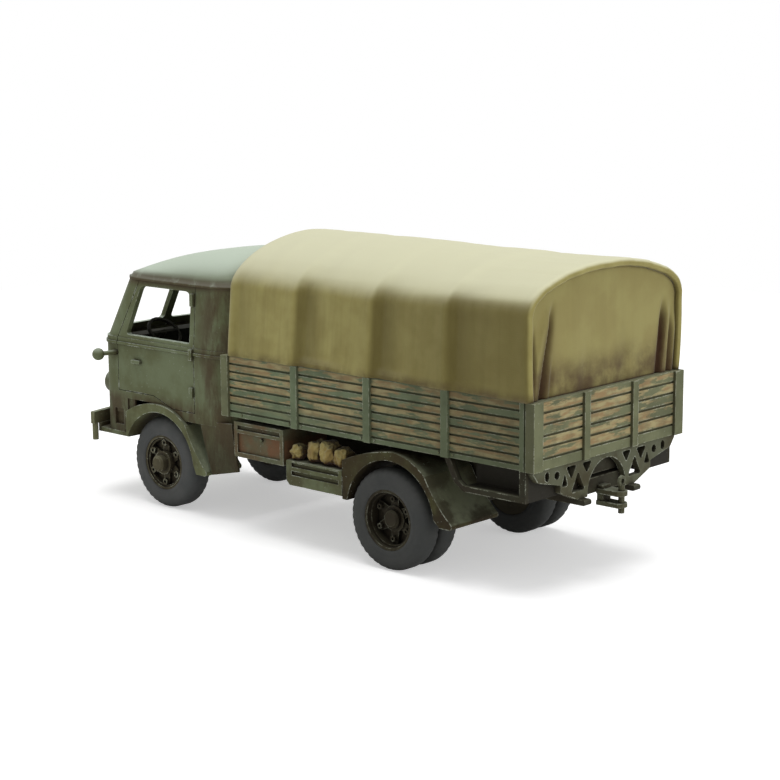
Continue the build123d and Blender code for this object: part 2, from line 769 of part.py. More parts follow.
column_x = 0.4 * cab_half_width
column_angle = radians(48)
column_radius = 0.45
column_length = 5.6
wheel_radius = 3.4
wheel_rim = 0.5
column = Plane(origin=(column_x, dash_front_y + 1.9, dash_bottom_z + 0.4), x_dir=(1, 0, 0),
               z_dir=(0, cos(column_angle), sin(column_angle)))
with BuildPart() as steering:
    with BuildSketch(column) as shaft:
        RegularPolygon(column_radius, 8)
    extrude(shaft.sketch, amount=column_length)
    with BuildSketch(column.offset(column_length)) as rim_face:
        RegularPolygon(wheel_radius, 20)
        RegularPolygon(wheel_radius - wheel_rim, 20, mode=Mode.SUBTRACT)
        Rectangle(2 * wheel_radius - wheel_rim, wheel_rim)
    extrude(rim_face.sketch, amount=-wheel_rim)
    add(dashboard.part, mode=Mode.SUBTRACT)
keep(steering, "steering_wheel")

# ---------------------------------------------------------------- fenders
front_feet = ((front_foot_y, front_foot_z), (13.3, -0.5))
rear_feet = ((-9.6, 1.9), (14.2, 0.6))
fender_rows = [
    # name, axle_y, outer face x, inner edge x, then (y, z) from the axle: arch centre and two feet
    ("front_fender", front_axle_y, fender_face_x, front_fender_inner_x, (0, 0), front_feet),
    ("rear_fender", rear_axle_y, rear_wheel_face_x, rear_fender_inner_x, (0.5, 0.4), rear_feet),
]


def fender_face(plane, centre, front_foot, rear_foot, arc_end, foot_width):
    """The side of a fender: an arch over the wheel that runs down to a flared rear foot.

    arc_end is where the inner arc stops, as an angle over the level, and foot_width the foot's there.
    """
    cy, cz = centre
    radius = fender_radius
    inner = fender_inner_radius

    def on_arch(degrees):
        return (cy + radius * cos(radians(degrees)), cz + radius * sin(radians(degrees)))

    leave = on_arch(47)
    middle = ((leave[0] + rear_foot[0]) / 2 - 0.45, (leave[1] + rear_foot[1]) / 2 - 0.3)
    reach = (inner ** 2 - (front_foot[1] - cz) ** 2) ** 0.5
    with BuildSketch(plane) as face:
        with BuildLine():
            front = Line(front_foot, (front_foot[0], 0.78 * radius))
            brow = ThreePointArc(front @ 1, (-0.49 * radius, 0.93 * radius), (cy, cz + radius))
            arch = ThreePointArc(brow @ 1, on_arch(68), leave)
            tail = ThreePointArc(arch @ 1, middle, rear_foot)
            foot = Line(tail @ 1, (rear_foot[0] - foot_width, rear_foot[1]))
            rise = Line(foot @ 1, (cy + inner * cos(arc_end), cz + inner * sin(arc_end)))
            under = ThreePointArc(rise @ 1, (cy, cz + inner), (cy - reach, front_foot[1]))
            Line(under @ 1, front_foot)
        make_face()
        fillet(face.vertices().sort_by_distance(rear_foot)[0], 0.5)
    return face.sketch


for name, axle_y, face_x, inner_x, centre, (front_foot, rear_foot) in fender_rows:
    with BuildPart() as fender:
        face_plane = side_plane(face_x, axle_y, axle_z)
        lip = fender_face(face_plane, centre, front_foot, rear_foot, radians(8), 3.4)
        extrude(lip, amount=-fender_lip)
        sheet = fender_face(face_plane, centre, front_foot, rear_foot, radians(38), 1.6 * fender_sheet)
        extrude(sheet, amount=-(face_x - inner_x))
    keep(fender, f"{name}_left")
    keep_mirrored(fender, f"{name}_right")

# ---------------------------------------------------------------- nose fittings
apron_z = nose_bottom_z - apron_thickness
bumper_half = cab_half_width + bumper_overhang
bumper_end_y = cab_front_y - bumper_reach
bumper_z = apron_z + bumper_skirt


def bow_band(z, half, depth_in, depth_out):
    """A strip in plan that follows the bumper's bow, between two depths behind its front line."""
    with BuildSketch(Plane.XY.offset(z)) as band:
        with BuildLine():
            outer = ThreePointArc((-half, bumper_end_y + depth_in),
                                  (0, bumper_end_y - bumper_bow + depth_in),
                                  (half, bumper_end_y + depth_in))
            inner = ThreePointArc((half, bumper_end_y + depth_out),
                                  (0, bumper_end_y - bumper_bow + depth_out),
                                  (-half, bumper_end_y + depth_out))
            Line(outer @ 1, inner @ 0)
            Line(inner @ 1, outer @ 0)
        make_face()
    return band.sketch


with BuildPart() as apron:
    with BuildSketch(Plane.XY.offset(apron_z)) as plate:
        with BuildLine():
            front = ThreePointArc((-cab_half_width, bumper_end_y + bumper_thickness),
                                  (0, bumper_end_y - bumper_bow + bumper_thickness),
                                  (cab_half_width, bumper_end_y + bumper_thickness))
            Polyline(front @ 1, (cab_half_width, cab_skirt_y), (-cab_half_width, cab_skirt_y), front @ 0)
        make_face()
    extrude(plate.sketch, amount=apron_thickness)
keep(apron, "nose_apron")

with BuildPart() as bumper:
    extrude(bow_band(bumper_z, bumper_half, 0, bumper_thickness), amount=bumper_height)
    extrude(bow_band(apron_z, cab_half_width, bumper_thickness / 2, bumper_thickness),
            amount=bumper_skirt)
    with BuildSketch(Plane.XY.offset(apron_z - bumper_skirt)) as end_posts:
        for side in (1, -1):
            with Locations((side * (bumper_half - 0.6), bumper_end_y + bumper_thickness / 2)):
                RegularPolygon(0.55, 8)
    extrude(end_posts.sketch, amount=2 * bumper_skirt)
keep(bumper, "front_bumper")

lamp_x = 0.72 * cab_half_width
lamp_bezel = 0.35
nose_block_height = belt_z - bead_drop - nose_bottom_z
with BuildPart() as lamps:
    for side in (1, -1):
        lamp_front_y = cab_front_y - lamp_reach
        axis_line = Axis((side * lamp_x, 0, lamp_z), (0, 1, 0))
        lamp_view = Plane(origin=(side * lamp_x, 0, lamp_z), x_dir=(0, 1, 0), z_dir=(0, 0, 1))
        with BuildSketch(lamp_view) as half_lamp:
            with BuildLine():
                Polyline(
                    (cab_front_y + cab_wall / 2, 0), (cab_front_y + cab_wall / 2, lamp_radius),
                    (lamp_front_y, lamp_radius), (lamp_front_y, lamp_radius - lamp_bezel),
                    (lamp_front_y + lamp_bezel, lamp_radius - lamp_bezel),
                    (lamp_front_y + lamp_bezel, 0), close=True)
            make_face()
        revolve(half_lamp.sketch, axis=axis_line)
    extrude(lower_section(nose_bottom_z, 0), amount=nose_block_height, mode=Mode.SUBTRACT)
keep(lamps, "headlamps")

slat_pitch = (grille_width - 2.6) / (slat_count - 1)
slat_width = 0.5
grille_frame = 0.7
grille_depth = 0.7
with BuildPart() as grille:
    with BuildSketch(Plane.XZ.offset(-cab_front_y + cab_bow - 0.4)) as bars:
        with Locations((0, grille_z)):
            RectangleRounded(grille_width, grille_height, 2.4)
            RectangleRounded(grille_width - 2 * grille_frame, grille_height - 2 * grille_frame, 1.8,
                             mode=Mode.SUBTRACT)
            with GridLocations(slat_pitch, 1, slat_count, 1):
                Rectangle(slat_width, grille_height - grille_frame)
    extrude(bars.sketch, amount=grille_depth + 0.4)
    extrude(lower_section(nose_bottom_z, 0), amount=nose_block_height, mode=Mode.SUBTRACT)
keep(grille, "grille")

ball_radius = 1.1
stalk_radius = 0.42
ball_turn = 23
ball_steps = 3
marker_foot = Vector(cab_half_width - 0.15, cab_front_y + 4.8, belt_z - 2.9)
marker_top = Vector(cab_half_width + 2.7, cab_front_y + 2.8, belt_z - 3.2)
with BuildPart() as marker:
    stalk = Plane(origin=marker_foot, z_dir=marker_top - marker_foot)
    with BuildSketch(stalk) as shaft:
        RegularPolygon(stalk_radius, 8)
    extrude(shaft.sketch, amount=(marker_top - marker_foot).length)
    add_stacked(Plane(marker_top), 12, [
        (ball_radius * sin(radians(tilt)), ball_radius * cos(radians(tilt)))
        for tilt in range(-ball_steps * ball_turn, ball_steps * ball_turn + 1, ball_turn)])
    extrude(lower_section(nose_bottom_z, 0), amount=nose_block_height, mode=Mode.SUBTRACT)
with BuildPart() as markers:
    add(marker.part)
    mirror(marker.part, about=Plane.YZ)
keep(markers, "corner_markers")

# ---------------------------------------------------------------- under the bed
box_face_x = bed_half_width - tilt_inset
locker_face_x = box_face_x + 0.4
box_front_y = bed_front_y + 1.85
box_rear_y = box_front_y + 11.7
box_bottom_z = rail_bottom_z + 0.2
box_top_z = bed_bottom_z - 0.8
recess = 0.4
slot_height = 0.7
with BuildPart() as toolbox:
    with BuildSketch(side_plane(box_face_x)) as outline:
        side_rectangle(box_front_y, box_rear_y, box_bottom_z, box_top_z)
    extrude(outline.sketch, amount=-(box_face_x - box_inner_x))
    with BuildSketch(side_plane(box_face_x)) as hollows:
        side_rectangle(box_front_y + box_frame, box_rear_y - box_frame,
                       box_bottom_z + box_frame, box_top_z - box_frame - slot_height - 0.4)
        side_rectangle(box_front_y + box_frame, box_rear_y - box_frame,
                       box_top_z - box_frame - slot_height + 0.2, box_top_z - box_frame + 0.2)
    extrude(hollows.sketch, amount=-recess, mode=Mode.SUBTRACT)
    with BuildSketch(side_plane(box_face_x - recess)) as knob:
        with Locations((box_front_y + knob_reach, box_top_z - knob_drop)):
            RegularPolygon(0.3, 6)
    extrude(knob.sketch, amount=recess)
keep(toolbox, "toolbox_left")
keep_mirrored(toolbox, "toolbox_right")

locker_front_y = box_rear_y + 1.1
locker_rear_y = rear_axle_y + rear_feet[0][0] - 0.4
louvre_height = 0.7
with BuildPart() as locker:
    with BuildSketch(side_plane(locker_face_x)) as outline:
        side_rectangle(locker_front_y, locker_rear_y, locker_bottom_z, locker_top_z)
        chamfer(outline.vertices().group_by(Axis.X)[0].sort_by(Axis.Y)[0], 0.7)
    extrude(outline.sketch, amount=-(locker_face_x - box_inner_x))
    with BuildSketch(side_plane(locker_face_x)) as louvres:
        for share in (0.42, 0.76):
            louvre_z = locker_bottom_z + share * (locker_top_z - locker_bottom_z)
            side_rectangle(locker_front_y + 1.2, locker_rear_y - box_frame,
                           louvre_z, louvre_z + louvre_height)
    extrude(louvres.sketch, amount=-recess, mode=Mode.SUBTRACT)
keep(locker, "step_locker_left")
keep_mirrored(locker, "step_locker_right")

roll_radius = 1.6
roll_length = 9.0
sack_rows = [
    # middle y and radius, as shares of the locker's length
    (0.478, 0.151),
    (0.717, 0.159),
    (0.878, 0.120),
]
locker_length = locker_rear_y - locker_front_y
sack_height = 0.72 * (bed_bottom_z - locker_top_z)
with BuildPart() as rolls:
    with BuildSketch(side_plane(locker_face_x - 0.3)) as roll_end:
        with Locations((locker_front_y + 1.6, locker_top_z + roll_radius)):
            RegularPolygon(roll_radius, 12, major_radius=False, rotation=15)
    extrude(roll_end.sketch, amount=-roll_length)
    with BuildSketch(side_plane(locker_face_x - 0.6, locker_front_y, locker_top_z)) as sacks:
        for middle_share, radius_share in sack_rows:
            radius = radius_share * locker_length
            with Locations((middle_share * locker_length, radius)):
                RegularPolygon(radius, 8, major_radius=False, rotation=22.5)
        scale(by=(1, sack_height / (2 * sack_rows[1][1] * locker_length), 1))
    extrude(sacks.sketch, amount=-3.4)
keep(rolls, "stowage_rolls")

side_frame_x = bed_half_width - 0.15
frame_front_y = rear_axle_y + side_box_reach
frame_rear_y = truss_front_y
frame_rail_z = rail_bottom_z + side_box_rise
with BuildPart() as side_frame:
    with BuildSketch(side_plane(side_frame_x)) as outline:
        side_rectangle(frame_front_y + 2.1, frame_rear_y, frame_rail_z, bed_bottom_z)
        with BuildLine():
            Polyline((frame_front_y - 1.9, bed_bottom_z), (frame_front_y - 0.7, bed_bottom_z),
                     (frame_front_y + 1.0, frame_rail_z + 1.6), (frame_front_y + 2.1, frame_rail_z + 0.9),
                     (frame_front_y + 2.1, frame_rail_z), (frame_front_y + 0.2, frame_rail_z + 1.2),
                     close=True)
        make_face()
    extrude(outline.sketch, amount=-0.9)
    with BuildSketch(side_plane(side_frame_x)) as back:
        side_rectangle(frame_front_y + 2.1, frame_rear_y, frame_rail_z, bed_bottom_z)
    extrude(back.sketch, amount=-8.0)
    with BuildSketch(side_plane(side_frame_x)) as opening:
        side_rectangle(frame_front_y + 2.1, frame_rear_y - 1.2, frame_rail_z + 0.9, bed_bottom_z)
    extrude(opening.sketch, amount=-3.0, mode=Mode.SUBTRACT)
keep(side_frame, "rear_side_box_left")
keep_mirrored(side_frame, "rear_side_box_right")

truss_bottom_z = rail_bottom_z + rail_tail_height
truss_half = bed_half_width - 0.6
truss_points = [
    # x from the middle, z
    (truss_half, bed_bottom_z),
    (truss_half, bed_bottom_z - 0.5),
    (truss_half - 1.1, bed_bottom_z - 1.9),
    (11.6, bed_bottom_z - 3.2),
    (11.6, truss_bottom_z + 1.7),
    (7.4, truss_bottom_z),
    (truss_arch_radius, truss_bottom_z),
]
triangle_rows = [
    # middle x, z of the base, half the base, z of the point
    (5.1, 19.4, 1.2, 17.6),
    (7.3, 15.2, 1.7, 18.3),
    (9.0, 19.4, 1.3, 17.3),
    (10.6, 16.5, 0.8, 18.5),
]
eye_rows = [
    # middle x, z, half width, half height
    (12.5, 18.5, 0.6, 0.6),
    (14.9, 18.7, 0.5, 0.75),
]
with BuildPart() as truss:
    with BuildSketch(Plane.XZ.offset(-truss_y)) as plate:
        with BuildLine():
            Polyline(*truss_points, *[(-x, z) for x, z in reversed(truss_points)], close=True)
        make_face()
        with Locations((0, truss_bottom_z + 0.4)):
            Circle(truss_arch_radius, mode=Mode.SUBTRACT)
    extrude(plate.sketch, amount=truss_thickness)
    with BuildSketch(Plane.XZ.offset(-truss_y)) as holes:
        for side in (1, -1):
            for x, base_z, half_base, point_z in triangle_rows:
                Polygon((side * (x - half_base), base_z), (side * (x + half_base), base_z),
                        (side * x, point_z), align=None)
        chamfer(holes.vertices(), 0.3)
        for side in (1, -1):
            for x, z, half_width, half_height in eye_rows:
                with Locations((side * x, z)):
                    Rectangle(2 * half_width, 2 * half_height)
        chamfer(holes.vertices().filter_by(lambda corner: abs(corner.X) > eye_rows[0][0] - 1), 0.35)
    extrude(holes.sketch, amount=truss_thickness, mode=Mode.SUBTRACT)
keep(truss, "rear_truss")

hitch_y = truss_y + hitch_reach
hitch_nose = 0.7
jaw_rows = [
    # bottom z from the rail's bottom, thickness
    (-1.2, 0.7),
    (0.6, 0.8),
]
ring_radius = 0.9
hitch_length = hitch_y + hitch_nose - truss_front_y
with BuildPart() as hitch:
    for drop, thickness in jaw_rows:
        with BuildSketch(Plane.XY.offset(rail_bottom_z + drop)) as jaw:
            with Locations((0, truss_front_y + hitch_length / 2)):
                Rectangle(jaw_width, hitch_length)
            chamfer(jaw.vertices().group_by(Axis.Y)[-1], 0.6)
        extrude(jaw.sketch, amount=thickness)
    with BuildSketch(Plane.XY.offset(rail_bottom_z + jaw_rows[0][0])) as throat:
        with Locations((0, truss_front_y + 0.6)):
            Rectangle(0.8 * jaw_width, 1.2)
    extrude(throat.sketch, amount=3.1)
    with BuildSketch(Plane.XY.offset(rail_bottom_z - 2.1)) as pin:
        with Locations((0, hitch_y)):
            RegularPolygon(pin_radius, 8)
    extrude(pin.sketch, amount=4.4)
    with BuildSketch(Plane.XZ.offset(-hitch_y - 0.2)) as ring:
        with Locations((0, rail_bottom_z + 2.9)):
            RegularPolygon(ring_radius, 8)
            RegularPolygon(0.5 * ring_radius, 8, mode=Mode.SUBTRACT)
    extrude(ring.sketch, amount=0.4)
keep(hitch, "tow_hitch")
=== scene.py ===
# %% [markdown]
# A tabletop model of a military cargo truck, dressed over its CAD frame. The first cell loads the
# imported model. Everything is in metres: the ground is z = 0, the truck faces -Y, its left is +X.
# The CAD gives every rigid piece its shape, so this script paints those pieces and adds the canvas,
# the stowed bundles, the rounded tyres and the smallest fittings.

# %% Load the frame
from math import cos, exp, pi, radians, sin

import bmesh
import bpy
from mathutils import Matrix, Vector, geometry, noise


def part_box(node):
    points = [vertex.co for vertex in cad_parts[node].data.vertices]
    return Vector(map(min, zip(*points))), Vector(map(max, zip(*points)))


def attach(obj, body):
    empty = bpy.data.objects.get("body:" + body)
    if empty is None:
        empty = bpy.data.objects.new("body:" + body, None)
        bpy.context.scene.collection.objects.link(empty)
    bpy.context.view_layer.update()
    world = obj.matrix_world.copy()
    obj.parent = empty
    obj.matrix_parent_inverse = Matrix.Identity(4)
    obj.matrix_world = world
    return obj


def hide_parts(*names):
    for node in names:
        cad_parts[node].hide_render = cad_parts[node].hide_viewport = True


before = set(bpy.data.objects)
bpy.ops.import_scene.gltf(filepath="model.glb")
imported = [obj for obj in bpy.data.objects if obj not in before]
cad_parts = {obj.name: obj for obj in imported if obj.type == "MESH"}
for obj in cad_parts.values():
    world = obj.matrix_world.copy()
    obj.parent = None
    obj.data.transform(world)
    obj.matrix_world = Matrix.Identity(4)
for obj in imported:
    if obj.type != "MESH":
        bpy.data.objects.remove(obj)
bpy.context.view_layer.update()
MM = 0.001


def node_box(name):
    """The low and the high corner of a CAD node's box."""
    return [Vector(corner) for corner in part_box(name)]


def in_mm(*lengths):
    """Lengths in millimetres, rounded for a print."""
    return [round(length / MM, 2) for length in lengths]


# %% [markdown]
# The camera stands behind the truck's left rear corner, a little above the bed. Its place is given
# as a turn, a height angle and a distance from a point on the truck's middle line, because those
# are the numbers one changes by eye. A long lens keeps the model's lines nearly parallel.

# %% Camera
camera_turn = radians(132.38)
camera_lift = radians(10.52)
camera_roll = radians(-0.30)
camera_target = Vector((0, 23.05, 20)) * MM
camera_offset = Vector((-12.09, 6.52, 306.2)) * MM  # right, up and back from the target
camera_data = bpy.data.cameras.new("camera")
camera_data.sensor_width = 36
camera_data.lens = 86.96
camera_data.shift_x = -0.00201
camera_data.shift_y = -0.00344
camera_data.clip_start = 0.01
camera_data.clip_end = 10
scene = bpy.context.scene
scene.camera = bpy.data.objects.new("camera", camera_data)
scene.collection.objects.link(scene.camera)
turn = Matrix.Rotation(camera_turn, 4, "Z") @ Matrix.Rotation(pi / 2 - camera_lift, 4, "X")
turn = turn @ Matrix.Rotation(camera_roll, 4, "Z")
place = camera_target + turn @ camera_offset
scene.camera.matrix_world = Matrix.Translation(place) @ turn
print("camera at", [round(v, 4) for v in place])

# %% [markdown]
# The room's light and every paint below are node trees, and they share a few habits, so small
# helpers come first. A socket knows which tree it belongs to, so most of them needn't be told.
# Patterns read Object coordinates, which sit still on a piece when it turns or the camera moves.

# %% Node helpers
def set_inputs(node, inputs):
    """Links sockets to a node's inputs, and writes numbers and colours on them."""
    for name, value in inputs.items():
        socket = node.inputs[name]
        if isinstance(value, bpy.types.NodeSocket):
            node.id_data.links.new(value, socket)
        else:
            socket.default_value = (*value, 1) if socket.type == "RGBA" else value


def add_node(tree, kind, inputs=None, **settings):
    """A node of a kind, with its settings and its inputs."""
    node = tree.nodes.new(kind)
    for name, value in settings.items():
        setattr(node, name, value)
    set_inputs(node, inputs or {})
    return node


def mix(share, first, second):
    """The colour that is first where share is 0 and second where it is 1."""
    return add_node(share.id_data, "ShaderNodeMix", {0: share, 6: first, 7: second},
                    data_type="RGBA").outputs[2]


def arith(operation, first, second=0.0, clamp=False):
    """The result of one sum on two sockets, or on a socket and a number."""
    socket = first if isinstance(first, bpy.types.NodeSocket) else second
    return add_node(socket.id_data, "ShaderNodeMath", {0: first, 1: second}, operation=operation,
                    use_clamp=clamp).outputs[0]


def times(*factors, clamp=False):
    """The product of sockets and numbers, held between 0 and 1 where clamp is set."""
    product = factors[0]
    for factor in factors[1:-1]:
        product = arith("MULTIPLY", product, factor)
    return arith("MULTIPLY", product, factors[-1], clamp)


def scaled(value, factor, start):
    """A start, and a factor times the value on top."""
    return arith("ADD", start, times(value, factor))


def above(value, low, high):
    """0 where value is below low, 1 where it is above high, and smooth between."""
    return add_node(value.id_data, "ShaderNodeMapRange",
                    {"Value": value, "From Min": low, "From Max": high},
                    interpolation_type="SMOOTHSTEP").outputs["Result"]


def below(value, low, high):
    """1 where value is below low, 0 where it is above high, and smooth between."""
    return arith("SUBTRACT", 1.0, above(value, low, high))


# %% [markdown]
# A paint asks the same few things of the surface: where on the piece a point lies, which way it
# faces, how open it lies, and what a noise pattern says there.

# %% What a paint can ask
def cloud(place, scale, detail=3.0, rough=0.55):
    """A noise pattern, with scale in spots per metre."""
    return add_node(place.id_data, "ShaderNodeTexNoise", {
        "Vector": place, "Scale": scale, "Detail": detail, "Roughness": rough}).outputs["Fac"]


def stretched(place, down):
    """Object coordinates stretched downwards, for streaks and rain marks."""
    return add_node(place.id_data, "ShaderNodeMapping",
                    {"Vector": place, "Scale": (1, 1, down)}).outputs[0]


def axes(vector):
    """The three sockets with a vector's x, y and z."""
    return add_node(vector.id_data, "ShaderNodeSeparateXYZ", {0: vector}).outputs[:3]


def object_place(tree):
    """Where on its piece a point lies."""
    return add_node(tree, "ShaderNodeTexCoord").outputs["Object"]


def facing(tree):
    """The way a surface faces."""
    return add_node(tree, "ShaderNodeNewGeometry").outputs["Normal"]


def open_sky(tree, reach, samples=8):
    """1 in the open and less in recesses, looking as far as reach."""
    return add_node(tree, "ShaderNodeAmbientOcclusion", {"Distance": reach},
                    samples=samples).outputs["AO"]


def set_shader(colour, others=None):
    """Links a colour to the shader of its tree, and sets its other inputs."""
    shader = colour.id_data.nodes["Principled BSDF"]
    set_inputs(shader, {"Base Color": colour, **(others or {})})


# %% [markdown]
# A paint job on a small model shows best in soft light from above, with the walls of a white room
# filling the shadows. A wide lamp overhead gives the top its brightness, a weaker one behind the
# truck lifts the tailboard and the curtain, and the left side stays the dimmest. The camera, mirrors
# and glass see the room as plain white.

# %% Room and light
scene.view_settings.view_transform = "Standard"
room_strength = 0.38
white = (1, 1, 1)
scene.world = bpy.data.worlds.new("white_room")
scene.world.use_nodes = True
room = scene.world.node_tree


def looking_rays(tree):
    """A share that is 1 for camera, glossy and transmission rays and 0 for the rays of light."""
    ray = add_node(tree, "ShaderNodeLightPath").outputs
    seen = arith("MAXIMUM", ray["Is Camera Ray"], ray["Is Glossy Ray"])
    return arith("MAXIMUM", seen, ray["Is Transmission Ray"])


room_light = room.nodes["Background"]
set_inputs(room_light, {"Color": white, "Strength": room_strength})
room_seen = add_node(room, "ShaderNodeBackground", {"Color": white, "Strength": 1.0})
room_mix = add_node(room, "ShaderNodeMixShader", {
    0: looking_rays(room), 1: room_light.outputs[0], 2: room_seen.outputs[0]})
room.links.new(room_mix.outputs[0], room.nodes["World Output"].inputs["Surface"])


def soft_lamp(name, place, size, watts):
    """A square lamp that faces the truck's middle."""
    lamp_data = bpy.data.lights.new(name, "AREA")
    lamp_data.size = size
    lamp_data.energy = watts
    lamp = bpy.data.objects.new(name, lamp_data)
    lamp.location = place
    lamp.rotation_euler = (Vector(place) - Vector((0, 0, 0.02))).to_track_quat("Z", "Y").to_euler()
    scene.collection.objects.link(lamp)


soft_lamp("overhead_lamp", (0.02, 0.04, 0.62), 0.45, 2.35)
soft_lamp("rear_lamp", (-0.14, 0.62, 0.20), 0.30, 0.95)

# %% [markdown]
# A painted model gets its depth in layers: a base with soft clouds in it, a pale painted highlight
# on whatever faces up, brown grime with painted shade that spreads out of the corners, a thin
# near-black wash with painted shade right in the recesses, and dry pale paint dragged over the
# edges. Ambient Occlusion finds the recesses, once with a long reach for the grime and its painted
# shade and once with a short one for the wash and its painted shade. The Bevel node finds the
# edges, by how far it turns the surface's direction. All read the shape, so they fit every piece.

# %% The painter's coats
grime_and_shade_reach = 4.5 * MM
wash_and_shade_reach = 1.1 * MM
edge_reach = 0.38 * MM
dark_wash_and_shade = (0.014, 0.010, 0.006)
pale_chip = (0.52, 0.56, 0.46)


def worn_paint(name, base, second, top, wash_and_shade=dark_wash_and_shade, chip=pale_chip, grime=(0.055, 0.036, 0.018),
               grime_and_shade_share=0.85, wash_and_shade_share=0.9, top_share=0.8, chip_share=0.8, low_dust=0.5,
               roughness=0.72, grain=0.06):
    """A painter's finish: clouded base, painted highlight on the top, grime and wash with painted
    shade in recesses, dry paint on edges.

    Returns the material, the colour so far and the place on the piece, for finishes that go on.
    """
    material = bpy.data.materials.new(name)
    material.use_nodes = True
    tree = material.node_tree
    place = object_place(tree)
    normal = facing(tree)
    colour = mix(above(cloud(place, 170), 0.36, 0.64), base, second)
    fine = cloud(place, 1500, 4.0, 0.65)
    # Painted highlight: faces that look up take the pale top colour.
    colour = mix(times(above(axes(normal)[2], 0.15, 0.95), top_share), colour, top)
    patches = above(cloud(place, 230, 5.0), 0.40, 0.62)
    low = below(axes(place)[2], 11 * MM, 23 * MM)
    colour = mix(times(low, patches, low_dust), colour, grime)
    # Grime and painted shade: the grime colour spreads out of the corners that Ambient Occlusion finds.
    corner = below(open_sky(tree, grime_and_shade_reach), 0.20, 0.97)
    spread = scaled(cloud(place, 380, 5.0, 0.65), 1.25, 0.30)
    colour = mix(times(corner, spread, grime_and_shade_share, clamp=True), colour, grime)
    # Wash and painted shade: a near-black in the recesses, found by a short Ambient Occlusion.
    sky = open_sky(tree, wash_and_shade_reach)
    uneven = scaled(cloud(place, 600), 0.76, 0.62)
    colour = mix(times(below(sky, 0.20, 0.85), uneven, wash_and_shade_share, clamp=True), colour, wash_and_shade)
    rounded = add_node(tree, "ShaderNodeBevel", {"Radius": edge_reach}, samples=8)
    turned = add_node(tree, "ShaderNodeVectorMath", {0: rounded.outputs[0], 1: normal},
                      operation="DOT_PRODUCT").outputs["Value"]
    outer_edge = times(below(turned, 0.80, 0.985), above(sky, 0.62, 0.90))
    dragged = times(outer_edge, above(cloud(place, 820, 5.0, 0.75), 0.44, 0.56))
    rubbed = above(cloud(place, 210), 0.40, 0.60)
    dragged = times(dragged, arith("ADD", 0.12, rubbed, True))
    colour = mix(times(dragged, chip_share), colour, chip)
    speck = above(cloud(place, 2400, 2.0), 0.69, 0.74)
    colour = mix(times(speck, 0.30 * chip_share), colour, chip)
    bump = add_node(tree, "ShaderNodeBump", {"Height": fine, "Distance": grain * MM, "Strength": 0.6})
    set_shader(colour, {"Normal": bump.outputs[0], "Specular IOR Level": 0.16,
                        "Roughness": scaled(fine, 0.24, roughness - 0.12)})
    return material, colour, place


print("grime, wash and edges reach, in mm", in_mm(grime_and_shade_reach, wash_and_shade_reach, edge_reach))

# %% [markdown]
# Most pieces wear one of these paints as it is. Hidden places take a darker one, and the rear
# fenders a dark copy of the fender green as painted shade. The wheels wear a warm brown that
# painted shade deepens at the rear axle.

# %% Plain paints
def shade_at_rear(colour, share, deep):
    """Sets the colour, mixed with a deep one by a share on the rear axle's side, as painted shade on
    the rear wheels.
    """
    along = axes(object_place(colour.id_data))[1]
    set_shader(mix(times(above(along, -20 * MM, 10 * MM), share), colour, deep))


field_coats = ((0.158, 0.182, 0.100), (0.105, 0.112, 0.054), (0.36, 0.41, 0.31))
field_green, *_ = worn_paint("field_green", *field_coats, chip_share=0.95)
truss_paint, *_ = worn_paint(
    "truss_paint", (0.110, 0.116, 0.072), (0.070, 0.064, 0.034), (0.30, 0.32, 0.24),
    (0.008, 0.006, 0.004), (0.48, 0.51, 0.41), grime=(0.034, 0.024, 0.012), grime_and_shade_share=0.8,
    chip_share=0.95)
fender_green, *_ = worn_paint(
    "fender_green", (0.195, 0.220, 0.115), (0.130, 0.136, 0.064), (0.38, 0.43, 0.31),
    grime=(0.040, 0.029, 0.010), grime_and_shade_share=0.95, chip_share=0.95, low_dust=0.40)
bumper_paint, *_ = worn_paint(
    "bumper_paint", (0.215, 0.225, 0.125), (0.160, 0.155, 0.080), (0.38, 0.41, 0.29),
    low_dust=0.20, grime_and_shade_share=0.7, chip_share=1.0)
# Painted shade: the rear fenders wear a dark copy of the fender green.
shaded_fender, *_ = worn_paint(
    "shaded_fender", (0.062, 0.060, 0.022), (0.037, 0.028, 0.010), (0.22, 0.24, 0.16),
    (0.006, 0.004, 0.002), (0.46, 0.49, 0.40), grime=(0.020, 0.013, 0.005), grime_and_shade_share=1.0,
    chip_share=1.0, low_dust=0.8)
frame_dark, *_ = worn_paint(
    "frame_dark", (0.045, 0.045, 0.028), (0.028, 0.024, 0.014), (0.11, 0.11, 0.075),
    (0.006, 0.005, 0.003), (0.22, 0.22, 0.16), grime=(0.022, 0.016, 0.009))
trim_paint, *_ = worn_paint(
    "trim_paint", (0.026, 0.026, 0.018), (0.016, 0.014, 0.010), (0.06, 0.06, 0.045),
    (0.004, 0.003, 0.002), (0.12, 0.12, 0.09), grime=(0.012, 0.009, 0.006))
wheel_paint, wheel_brown, _ = worn_paint(
    "wheel_paint", (0.104, 0.092, 0.052), (0.050, 0.040, 0.021), (0.20, 0.19, 0.12),
    (0.004, 0.003, 0.002), (0.50, 0.52, 0.40), grime=(0.020, 0.014, 0.008), grime_and_shade_share=1.0,
    wash_and_shade_share=1.0, low_dust=0.2, chip_share=0.9)
shade_at_rear(wheel_brown, 0.60, (0.010, 0.008, 0.004))
print("plain paints:", [paint.name for paint in (
    field_green, truss_paint, fender_green, bumper_paint, shaded_fender, frame_dark, trim_paint)])
